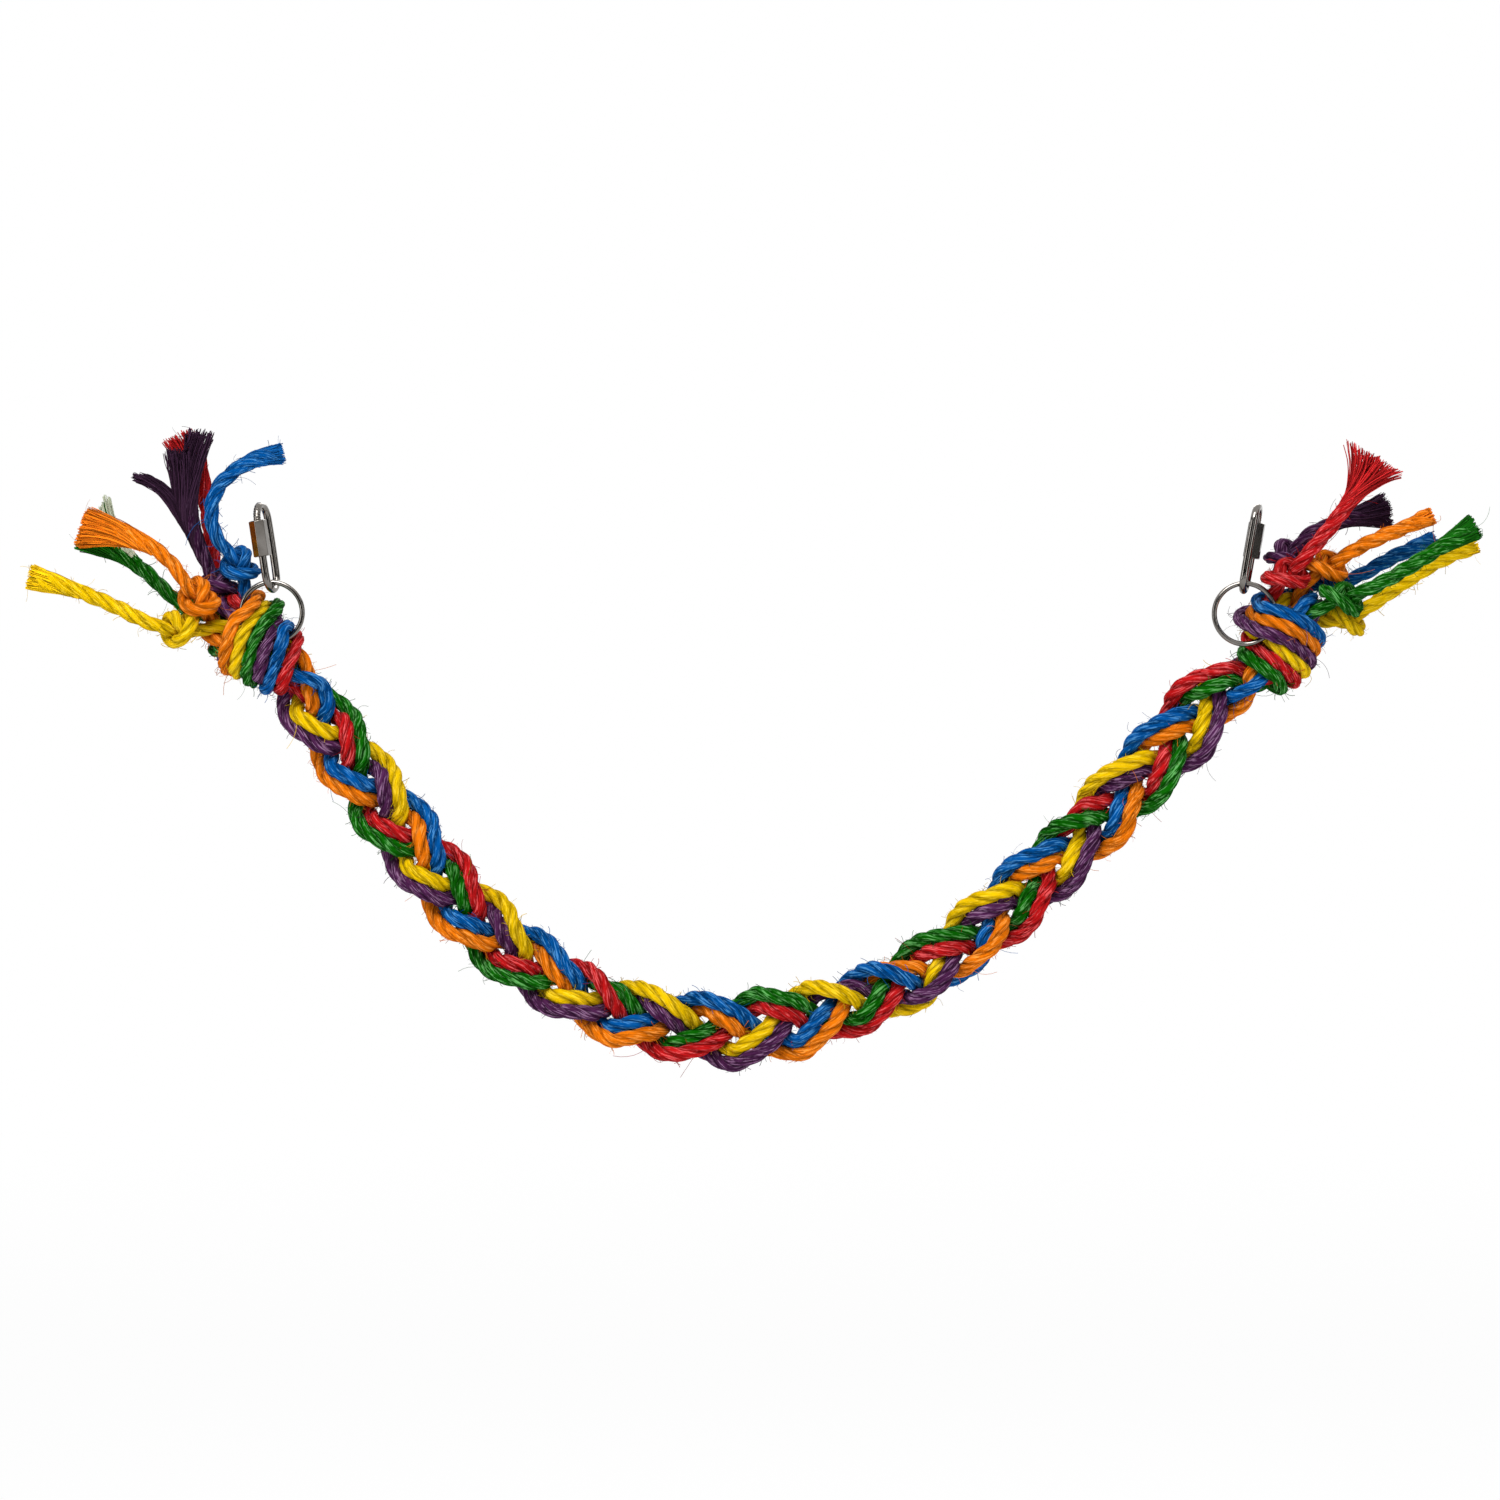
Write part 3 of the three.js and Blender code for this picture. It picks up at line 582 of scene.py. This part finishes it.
def dyed_sisal(name, dye):
    """Coarse dyed leaf fibre: streaks along each strand, painted shade between the strands, painted glints as
    highlights, dye that took unevenly.
    """
    material, make = new_finish(name)
    plane = make.add("ShaderNodeUVMap", {"uv_map": "strand_map"})
    split = make.add("ShaderNodeSeparateXYZ", None, {0: plane}).socket.node
    around = Wire(make, split.outputs[0])
    along = Wire(make, split.outputs[1])
    angle = (around - along * FIBRE_TWIST) * (2 * math.pi)
    x = angle.maths("COSINE", angle)
    y = angle.maths("SINE", angle)
    seen = {}
    for kind, grain in GRAIN.items():
        spot = make.add("ShaderNodeCombineXYZ", None, {
            0: x * grain["round"], 1: y * grain["round"], 2: along * grain["along"]})
        seen[kind] = make.add("ShaderNodeTexNoise", None, {
            "Vector": spot, "Scale": 1.0, "Detail": grain["detail"], "Roughness": grain["roughness"]})
    streak = seen["streak"]
    glint = seen["glint"]
    place = make.add("ShaderNodeTexCoord", None, None, "Object")
    cloud = make.add("ShaderNodeTexNoise", None, {"Vector": place, "Scale": CLOUD, "Detail": 2.0})
    crown = make.add("ShaderNodeAttribute", {"attribute_name": "crown"}, None, "Fac")
    soaked = make.add("ShaderNodeAttribute", {"attribute_name": "soaked"}, None, "Fac")
    deep = linear(dye, DEEPEST + PALE_EVENS * sum(dye))
    worn = linear(dye, *WORN)
    # The colour of a painted glint, a painted highlight lighter than the dye. It is laid over the dye where
    # the glint noise lights up.
    painted_glint = linear(dye, PAINTED_GLINT_KEEP, PAINTED_GLINT_LIFT - PALE_DULLS * sum(dye))
    wear = streak * (1 - CLOUD_WEARS) + cloud * CLOUD_WEARS
    ramp = make.mix(make.between(streak, *FULL_DYE), deep, linear(dye))
    faded = make.mix(make.between(wear, *WORN_DYE), ramp, worn)
    with_painted_glints = make.mix(make.between(glint, *PAINTED_GLINT_RANGE), faded, painted_glint)
    # Painted shade: the colour darkens from the crown of a strand down into the groove between strands, where
    # shade falls. It is then multiplied with the real dye clouds and the darker soaked dye.
    painted_groove_shade = make.between(crown, *GROOVE, GROOVE_PAINTED_SHADE)
    painted_shade_and_dye = painted_groove_shade * (CLOUD_SHADE[0] + cloud * CLOUD_SHADE[1]) * (1 - soaked)
    colour = make.add("ShaderNodeVectorMath", {"operation": "SCALE"}, {0: with_painted_glints, "Scale": painted_shade_and_dye})
    bump = make.add("ShaderNodeBump", None, {
        "Strength": 1.0, "Distance": SISAL_BUMP, "Height": streak + glint * GLINT_BUMP})
    shader = make.add("ShaderNodeBsdfPrincipled", None, {
        "Base Color": colour, "Roughness": SISAL_ROUGH - streak * STREAK_SMOOTHS, "Normal": bump,
        "Specular IOR Level": 0.02})
    make.add("ShaderNodeOutputMaterial", None, {"Surface": shader})
    return material


ropes = {}
for dye, colour in DYES.items():
    names = {end: f"{end}_tail_{dye}" for end in ("left", "right")}
    held = f"rope_{dye}"
    held_corners = corners(held)[0]
    tails = {end: middle_line(names[end], held_corners, SOLID_SIDES) for end in names}
    body = middle_line(held, corners(names["left"])[0], SOLID_SIDES)
    whole = np.vstack([tails["left"][0][:0:-1], body[0][:-1], tails["right"][0]])
    radii = np.concatenate([tails["left"][1][:0:-1], body[1][:-1], tails["right"][1]])
    line, along, marks = smooth(whole, LINE_STEP)
    girth = np.interp(along, marks, np.minimum(radii / (ROPE / 2), 1)) * SWELL
    room = np.array([steel_reach.find(point)[2] for point in line])
    free = (room - STEEL_ROOM) / (STRAND_OFFSET + STRAND_RADIUS)
    girth = np.minimum(girth, np.maximum(free, LEAST_GIRTH))
    tightest = np.min([np.roll(girth, shift) for shift in range(-EASE, EASE + 1)], axis=0)
    window = np.full(2 * EASE + 1, 1 / (2 * EASE + 1))
    girth = np.convolve(np.pad(tightest, EASE, "edge"), window, "valid")
    heading, across = headings(line)
    starts = {end: np.argmin(np.linalg.norm(line - tails[end][0][0], axis=1)) for end in names}
    loose = np.zeros(len(line))
    core = np.zeros(len(line))
    for end, tip in (("left", 0.0), ("right", along[-1])):
        share = np.clip(1 - np.abs(along - tip) / LOOSE[end][dye], 0, 1)
        loose = np.maximum(loose, share * share * (3 - 2 * share))
        core[share > 0] = dye in CORED[end]
    past = np.maximum(along[starts["left"]] - along, along - along[starts["right"]])
    soaked = SOAKED.get(dye, 0) * np.clip((past - SOAK_FROM) / (SOAK_FULL - SOAK_FROM), 0, 1)
    material = dyed_sisal(f"sisal_{dye}", colour)
    cuts = {
        "left": slice(0, starts["left"] + 1),
        "held": slice(starts["left"], starts["right"] + 1),
        "right": slice(starts["right"], len(line)),
    }
    ropes[dye] = {"line": line, "along": along, "heading": heading, "across": across, "cuts": cuts,
                  "room": room, "tails": {}}
    for part, cut in cuts.items():
        title = f"laid_rope_{dye}" if part == "held" else f"laid_{part}_tail_{dye}"
        piece = line_object(title, line[cut], along=along[cut], loose=loose[cut], girth=girth[cut],
                            core=core[cut], soaked=soaked[cut], heading=heading[cut],
                            across=across[cut])
        lay_up.grow(piece, Lay=LAY, Offset=STRAND_OFFSET, Strand=STRAND_RADIUS, Material=material)
        unroll(piece)
        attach(piece, "ropes")
        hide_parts(held if part == "held" else names[part])
        if part != "held":
            ropes[dye]["tails"][part] = piece


# Stray fibres. Sisal is never smooth: short ends of leaf fibre stand out all along every rope, longer ones
# curl over, and here and there a long one has pulled free.
# For each of these kinds: how far apart its roots are and how far they shift, its lengths, its thickness
# and tip for a length of 1, and what it keeps of its lean to the front and back.
FUZZ = (
    {"spacing": 0.0008, "shift": 0.0008, "shortest": 0.0016, "longest": 0.0052,
     "thickness": 0.030, "tip": (0.45, 0, 0.9), "flat": 0.8},
    {"spacing": 0.024, "shift": 0.0020, "shortest": 0.006, "longest": 0.015,
     "thickness": 0.0090, "tip": (0.6, 0, 0.9), "flat": 0.25},
    {"spacing": 0.0050, "shift": 0.0010, "shortest": 0.003, "longest": 0.0085,
     "thickness": 0.014, "tip": (0.75, 0, 0.35), "flat": 0.6},
)
HAIR_STEPS = 5
HAIR_SIDES = 3
HAIR_BEND = (0, 0, 0.55)
# The most that a fibre leans along its rope, its palest tone, and how far out in the rope it is rooted.
HAIR_LEAN = 2.2
HAIR_TONE = 0.6
HAIR_ROOT = 0.95
# The deepest and the most worn of single fibres: the share of the dye that they keep, and a lift.
FIBRE_DEEP = 0.62
FIBRE_WORN = (1.08, 20)
UNDYED = (0.42, 0.46, 0.34, 1.0)
UNDYED_TONE = 1.1

fuzz = Grower("stray_fibres", {"Out": float, "Seed": int, "Material": bpy.types.Material})
line = fuzz.add("GeometryNodeMeshToCurve", None, {"Mesh": fuzz.given("Geometry")})
grown = fuzz.tree.nodes.new("GeometryNodeJoinGeometry")
for number, kind in enumerate(FUZZ):
    seed = fuzz.given("Seed") * 10 + number * 100
    roots = fuzz.add("GeometryNodeResampleCurve", {"mode": "LENGTH"}, {
        "Curve": line, "Length": kind["spacing"]})
    way = fuzz.round_about(fuzz.chance(seed, 0.0, 2 * math.pi))
    ahead = fuzz.fact("heading", "FLOAT_VECTOR")
    shift = fuzz.vector("SCALE", ahead, fuzz.chance(seed + 1, -kind["shift"], kind["shift"]))
    root = fuzz.vector("ADD", fuzz.vector("SCALE", way, fuzz.given("Out")), shift)
    roots = fuzz.add("GeometryNodeSetPosition", None, {"Geometry": roots, "Offset": root})
    roots = fuzz.store(roots, "tone", fuzz.chance(seed + 5, 0.0, HAIR_TONE))
    lean = fuzz.vector("SCALE", ahead, fuzz.chance(seed + 2, -HAIR_LEAN, HAIR_LEAN))
    lying = fuzz.vector("MULTIPLY", fuzz.vector("ADD", way, lean), (1, kind["flat"], 1))
    aim = fuzz.add("FunctionNodeAlignRotationToVector", {"axis": "Z"}, {"Vector": lying})
    spin = fuzz.add("FunctionNodeAxisAngleToRotation", None, {
        "Axis": (0, 0, 1), "Angle": fuzz.chance(seed + 3, 0.0, 2 * math.pi)})
    aim = fuzz.add("FunctionNodeRotateRotation", {"rotation_space": "LOCAL"}, {0: aim, 1: spin})
    hair = fuzz.add("GeometryNodeCurveQuadraticBezier", None, {
        "Resolution": HAIR_STEPS, "Start": (0, 0, 0), "Middle": HAIR_BEND, "End": kind["tip"]})
    thread = fuzz.add("GeometryNodeCurvePrimitiveCircle", None, {
        "Resolution": HAIR_SIDES, "Radius": kind["thickness"]})
    hair = fuzz.add("GeometryNodeCurveToMesh", None, {
        "Curve": hair, "Profile Curve": thread, "Fill Caps": True})
    length = fuzz.chance(seed + 4, 0.0, 1.0)
    length = kind["shortest"] + length * length * (kind["longest"] - kind["shortest"])
    free = fuzz.fact("room") - ROPE / 2
    hairs = fuzz.add("GeometryNodeInstanceOnPoints", None, {
        "Points": roots, "Selection": free.maths("GREATER_THAN", free, kind["shortest"]),
        "Instance": hair, "Rotation": aim, "Scale": length.maths("MINIMUM", length, free)})
    fuzz.tree.links.new(hairs.socket, grown.inputs[0])
fuzz.end(Wire(fuzz, grown.outputs[0]))


def loose_sisal(name, dye):
    """Single fibres, each of its own tone from deep to worn; a tone over 1 is a fibre that took no dye."""
    material, make = new_finish(name)
    tone = make.add("ShaderNodeAttribute", {"attribute_name": "tone"}, None, "Fac")
    dyed = make.mix(tone, linear(dye, FIBRE_DEEP), linear(dye, *FIBRE_WORN))
    colour = make.mix(make.between(tone, 1.0, UNDYED_TONE), dyed, UNDYED)
    shader = make.add("ShaderNodeBsdfPrincipled", None, {
        "Base Color": colour, "Roughness": 0.8, "Specular IOR Level": 0.05})
    make.add("ShaderNodeOutputMaterial", None, {"Surface": shader})
    return material


for number, (dye, rope) in enumerate(ropes.items()):
    rope["fibre"] = loose_sisal(f"fibre_{dye}", tuple(c * (1 - SOAKED.get(dye, 0)) for c in DYES[dye]))
    piece = line_object(f"stray_fibres_{dye}", rope["line"], heading=rope["heading"], across=rope["across"],
                        room=rope["room"])
    fuzz.grow(piece, Out=ROPE / 2 * HAIR_ROOT, Seed=number, Material=rope["fibre"])
    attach(piece, "ropes")


# The frayed ends. Past its stopper every rope is cut off square and has come unlaid at the cut, so that
# the fibres of its three strands spread into a brush or part into locks.
FIBRES = 300
FIBRE_RADIUS = 0.00027
FIBRE_SIDES = 4
# A fibre's thickness where the rope holds it and what it loses to the tip, and how far fibres differ in it.
FIBRE_TAPER = (1.15, 0.45)
FIBRE_RANGE = (0.7, 1.4)
# How far short of the cut a fibre ends, or past it.
RAGGED = (-0.0022, 0.0012)
# How often a fibre ripples in a metre, how unlike the next fibre, and how widely.
RIPPLE = 70
RIPPLE_APART = 3.7
RIPPLE_WIDTH = 0.0022
# The reach of a brush where it leaves the rope, as a share of the rope, and its depth for its width.
BRUSH_ROOT = 0.53
BRUSH_DEPTH = (1, 0.7, 1)
# How late a brush opens and its locks part: a higher number is later.
TRUMPET = 1.3
LOCKS_PART = 1.4
# The share of a brush's section, from its middle, that holds no fibre, over a core and without one.
CORE_SHARE = 0.30
OPEN_SHARE = 0.05
# How wide each brush opens, and where the tips of its three locks lie from the end of the tail. Widths
# make single locks slimmer, a higher trumpet opens later, and undyed is the pale share of the third lock.
STILL = (0, 0, 0)
UNPARTED = (STILL, STILL, STILL)
BRUSHES = {
    "left": {
        "yellow": {"spread": 0.0058, "fibres": 380, "locks": UNPARTED},
        "orange": {"spread": 0.0088, "fibres": 680,
                   "locks": ((-0.0025, 0, -0.003), (-0.001, 0, -0.001), (-0.002, 0, -0.002))},
        "green": {"spread": 0.0056, "widths": (1, 1, 0.7), "undyed": 0.92,
                  "locks": (STILL, STILL, (0.011, 0, 0.0165))},
        "purple": {"spread": 0.0105, "trumpet": 1.6, "widths": (0.36, 0.6, 0.6), "fibres": 500,
                   "locks": ((-0.023, 0.001, -0.019), (-0.0055, -0.002, -0.008), (0.005, 0, 0.001))},
        "red": {"spread": 0.0078, "widths": (1, 1, 0.6), "fibres": 420,
                "locks": ((-0.003, 0, 0.002), STILL, (0.006, -0.004, -0.004))},
        "blue": {"spread": 0.0048, "locks": UNPARTED},
    },
    "right": {
        "red": {"spread": 0.0130, "trumpet": 2.0, "fibres": 260, "widths": (0.8, 0.8, 0.8),
                "locks": ((-0.004, 0, 0.003), STILL, (0.005, 0, -0.003))},
        "purple": {"spread": 0.0044, "widths": (1, 1, 0.5),
                   "locks": ((-0.001, 0, 0.003), (0.001, 0, 0), (0.002, 0, -0.0075))},
        "orange": {"spread": 0.0040, "locks": UNPARTED},
        "blue": {"spread": 0.0040, "locks": UNPARTED},
        "green": {"spread": 0.0062, "locks": UNPARTED},
        "yellow": {"spread": 0.0038, "locks": UNPARTED},
    },
}

# Strand numbers count as the same within this.
SAME_STRAND = 0.1

fray = Grower("frayed_brush", {
    "Rope": float, "Spread": float, "Fibre": float, "Hollow": float, "Undyed": float, "Fibres": int,
    "Seed": int, "Widths": tuple, "Lock 1": tuple, "Lock 2": tuple, "Lock 3": tuple,
    "Material": bpy.types.Material})
line = fray.add("GeometryNodeMeshToCurve", None, {"Mesh": fray.given("Geometry")})
fibres = fray.add("GeometryNodeDuplicateElements", {"domain": "SPLINE"}, {
    "Geometry": line, "Amount": fray.given("Fibres")})
number = Wire(fray, fibres.socket.node.outputs["Duplicate Index"])
opened = fray.fact("open")
strand = number.maths("MODULO", number, float(STRANDS))
seed = fray.given("Seed")
turn = fray.chance(seed, 0.0, 2 * math.pi, number) + fray.fact("turn")
widths = fray.add("ShaderNodeSeparateXYZ", None, {0: fray.given("Widths")}).socket.node
mine = []
width = 0.0
for place in range(STRANDS):
    mine.append(strand.maths("COMPARE", strand, float(place)))
    mine[place].socket.node.inputs[2].default_value = SAME_STRAND
    width = mine[place] * Wire(fray, widths.outputs[place]) + width
share = fray.chance(seed + 1, fray.given("Hollow"), 1.0, number) ** 0.5
wander = fray.add("ShaderNodeCombineXYZ", None, {
    0: fray.fact("along") * RIPPLE, 1: number * RIPPLE_APART})
ripple = fray.add("ShaderNodeTexNoise", {"noise_dimensions": "2D"}, {
    "Vector": wander, "Scale": 1.0}, "Color")
ripple = fray.vector("SCALE", fray.vector("SUBTRACT", ripple, (0.5, 0.5, 0.5)), opened * RIPPLE_WIDTH)
wide = fray.given("Rope") * BRUSH_ROOT * (1 - opened) + fray.given("Spread") * width * opened
offset = fray.vector("SCALE", fray.round_about(turn), wide * share)
offset = fray.vector("MULTIPLY", offset, BRUSH_DEPTH)
offset = fray.vector("ADD", offset, ripple)
for place, lock in enumerate(("Lock 1", "Lock 2", "Lock 3")):
    parted = mine[place] * opened ** LOCKS_PART
    offset = fray.vector("ADD", offset, fray.vector("SCALE", fray.given(lock), parted))
ragged = fray.chance(seed + 2, *RAGGED, number) * opened
offset = fray.vector("ADD", offset, fray.vector("SCALE", fray.fact("heading", "FLOAT_VECTOR"), ragged))
spread = fray.add("GeometryNodeSetPosition", None, {"Geometry": fibres, "Offset": offset})
bare = fray.chance(seed + 6, 0.0, 1.0, number)
bare = bare.maths("LESS_THAN", bare, fray.given("Undyed") * mine[2])
spread = fray.store(spread, "tone", fray.chance(seed + 5, 0.0, 1.0, number) + bare * UNDYED_TONE)
thread = fray.add("GeometryNodeCurvePrimitiveCircle", None, {
    "Resolution": FIBRE_SIDES, "Radius": fray.given("Fibre")})
taper = (FIBRE_TAPER[0] - opened * FIBRE_TAPER[1]) * fray.chance(seed + 3, *FIBRE_RANGE, number)
brush = fray.add("GeometryNodeCurveToMesh", None, {
    "Curve": spread, "Profile Curve": thread, "Scale": taper, "Fill Caps": True})
fray.end(brush)

for number, (dye, rope) in enumerate(ropes.items()):
    for end, tail in rope["tails"].items():
        cut = rope["cuts"][end]
        points, along, heading, across = (rope[k][cut] for k in ("line", "along", "heading", "across"))
        if end == "left":
            points, along, heading, across = points[::-1], along[::-1], -heading[::-1], across[::-1]
        run = np.abs(along - along[0])
        first = np.argmax(run > run[-1] - LOOSE[end][dye])
        opening = (run[first:] - run[first]) / (run[-1] - run[first])
        twist = 2 * np.pi / LAY * (1 - opening) ** 2 * np.gradient(run[first:])
        turn = 2 * np.pi / LAY * (along[first] if end == "right" else -along[first]) + np.cumsum(twist)
        brush = BRUSHES[end][dye]
        piece = line_object(f"frayed_{end}_{dye}", points[first:], along=along[first:], turn=turn,
                            open=opening ** brush.get("trumpet", TRUMPET),
                            heading=heading[first:], across=across[first:])
        sizes = {f"Lock {i + 1}": lock for i, lock in enumerate(brush["locks"])}
        fray.grow(piece, Rope=ROPE, Spread=brush["spread"], Fibre=FIBRE_RADIUS,
                  Hollow=CORE_SHARE if dye in CORED[end] else OPEN_SHARE,
                  Undyed=brush.get("undyed", 0.0), Fibres=brush.get("fibres", FIBRES),
                  Widths=brush.get("widths", (1, 1, 1)), Seed=7 * number + 3,
                  Material=rope["fibre"], **sizes)
        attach(piece, "ropes")


# The rings. Each is a closed ring of round wire, plated bright, that the big knot grips at its foot
# and that carries the quick link at its top.
RING_WIRE = 0.0024
RING_STEPS = 120
WIRE_SIDES = 20
PLATE = (0.22, 0.205, 0.19, 1)
PLATE_WORN = (0.12, 0.108, 0.094, 1)
# Thumbed patches and specks in the plate: their grain, and where a patch turns dull.
PATCH = 130.0
SPECK = 900.0
DULL = (0.40, 0.75)
# How rough the plate is where it is bright, and what a dull patch and a speck add.
PLATE_ROUGH = 0.09
DULL_ROUGH = 0.08
SPECK_ROUGH = 0.04


def plated_steel(name):
    """Bright plate on steel wire: finely specked, thumbed dull and darker in patches."""
    material, make = new_finish(name)
    place = make.add("ShaderNodeTexCoord", None, None, "Object")
    patch = make.add("ShaderNodeTexNoise", None, {
        "Vector": place, "Scale": PATCH, "Detail": 3.0, "Roughness": 0.5})
    speck = make.add("ShaderNodeTexNoise", None, {"Vector": place, "Scale": SPECK, "Detail": 2.0})
    dull = make.between(patch, *DULL)
    colour = make.mix(dull, PLATE, PLATE_WORN)
    bump = make.add("ShaderNodeBump", None, {"Strength": 0.05, "Distance": 0.00006, "Height": speck})
    shader = make.add("ShaderNodeBsdfPrincipled", None, {
        "Base Color": colour, "Metallic": 1.0, "Normal": bump,
        "Roughness": PLATE_ROUGH + dull * DULL_ROUGH + speck * SPECK_ROUGH})
    make.add("ShaderNodeOutputMaterial", None, {"Surface": shader})
    return material


def swept_wire(name, points, radius, closed=False):
    """Round wire along a line, where radius gives the wire's size at each point and angle round it."""
    heading, across = headings(points)
    if closed:
        across = np.tile((0.0, 1.0, 0.0), (len(points), 1))
    beside = np.cross(heading, across)
    angle = 2 * np.pi * np.arange(WIRE_SIDES) / WIRE_SIDES
    size = radius(np.arange(len(points))[:, None], angle[None]) * np.ones((len(points), WIRE_SIDES))
    ways = across[:, None] * np.cos(angle)[None, :, None] + beside[:, None] * np.sin(angle)[None, :, None]
    skin = (points[:, None] + ways * size[:, :, None]).reshape(-1, 3)
    faces = []
    count = len(points)
    for i in range(count if closed else count - 1):
        for k in range(WIRE_SIDES):
            a, b = i * WIRE_SIDES, (i + 1) % count * WIRE_SIDES
            n = (k + 1) % WIRE_SIDES
            faces.append((a + k, a + n, b + n, b + k))
    if not closed:
        faces.append(tuple(reversed(range(WIRE_SIDES))))
        faces.append(tuple((count - 1) * WIRE_SIDES + k for k in range(WIRE_SIDES)))
    mesh = bpy.data.meshes.new(name)
    mesh.from_pydata(skin.tolist(), [], faces)
    mesh.polygons.foreach_set("use_smooth", [len(f) == 4 for f in faces])
    made = bpy.data.objects.new(name, mesh)
    scene.collection.objects.link(made)
    return made


steel = plated_steel("plated_steel")
for end in ("left", "right"):
    low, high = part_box(f"{end}_ring")
    middle = np.array((low + high) / 2)
    radius = (high.z - low.z) / 2 - RING_WIRE / 2
    angle = 2 * np.pi * np.arange(RING_STEPS) / RING_STEPS
    circle = middle + radius * np.stack([np.cos(angle), 0 * angle, np.sin(angle)], axis=1)
    ring = swept_wire(f"{end}_wire_ring", circle, lambda i, a: RING_WIRE / 2, closed=True)
    ring.data.materials.append(steel)
    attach(ring, f"{end}_ring")
    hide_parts(f"{end}_ring")


# The quick links. Each is a long oval of round wire with a gap in one leg; both sides of the gap are
# threaded, and the sleeve nut closes it.
LINK_WIRE = 0.0035
LINK_STEP = 0.0004
LINK_SIDES = 8
THREAD_PITCH = 0.0006
THREAD_DEPTH = 0.00022
THREAD_FADE = 0.0006
THREAD_RUN = {"first": 0.0045, "last": 0.0085}
# The upper end of the gap in the leg, from the middle of the closed nut.
GAP_TOP = 0.0027

for end in ("left", "right"):
    places = corners(f"{end}_quick_link")[0]
    nut_middle = corners(f"{end}_sleeve_nut")[0].mean(axis=0)
    gap_top = nut_middle - np.array(joints[f"{end}_nut_slide"]["axis"]) * GAP_TOP
    start = places[np.argsort(np.linalg.norm(places - gap_top, axis=1))[:LINK_SIDES]]
    points = middle_line(f"{end}_quick_link", start, LINK_SIDES)[0]
    line, run, _ = smooth(points, LINK_STEP)

    def threaded(i, a, run=run):
        """The wire's radius: full, but cut with a thread at both sides of the gap."""
        here = run[i]
        first = np.clip((THREAD_RUN["first"] - here) / THREAD_FADE, 0, 1)
        last = np.clip((here - run[-1] + THREAD_RUN["last"]) / THREAD_FADE, 0, 1)
        wave = 0.5 + 0.5 * np.cos(2 * np.pi * here / THREAD_PITCH - a)
        return LINK_WIRE / 2 - THREAD_DEPTH * (first + last) * wave

    link = swept_wire(f"{end}_bent_link", line, threaded)
    link.data.materials.append(steel)
    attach(link, f"{end}_link")
    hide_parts(f"{end}_quick_link")


# The sleeve nuts. Each is a long hexagon of plated steel with turned ends that screws down its leg to open
# the link. Its shape is that of its solid, merged into one skin, with the sharp edges tumbled round.
ONE_SKIN = 0.00001
NUT_EDGE = 0.00022
NUT_EDGE_CUTS = 2
NUT_SHARP = math.radians(20)

for end in ("left", "right"):
    solid = frame["nodes"][f"{end}_sleeve_nut"].data
    mesh = bpy.data.meshes.new(f"{end}_hexagon_nut")
    mesh.from_pydata([v.co for v in solid.vertices], [], [face.vertices[:] for face in solid.polygons])
    mesh.materials.append(steel)
    nut = bpy.data.objects.new(f"{end}_hexagon_nut", mesh)
    scene.collection.objects.link(nut)
    weld = nut.modifiers.new("one_skin", "WELD")
    weld.merge_threshold = ONE_SKIN
    edge = nut.modifiers.new("tumbled_edges", "BEVEL")
    edge.width = NUT_EDGE
    edge.segments = NUT_EDGE_CUTS
    edge.limit_method = "ANGLE"
    edge.angle_limit = NUT_SHARP
    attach(nut, f"{end}_nut")
    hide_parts(f"{end}_sleeve_nut")


sizes = {"cad": [list(p) for p in solid_box], "visual": [list(p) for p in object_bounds()]}
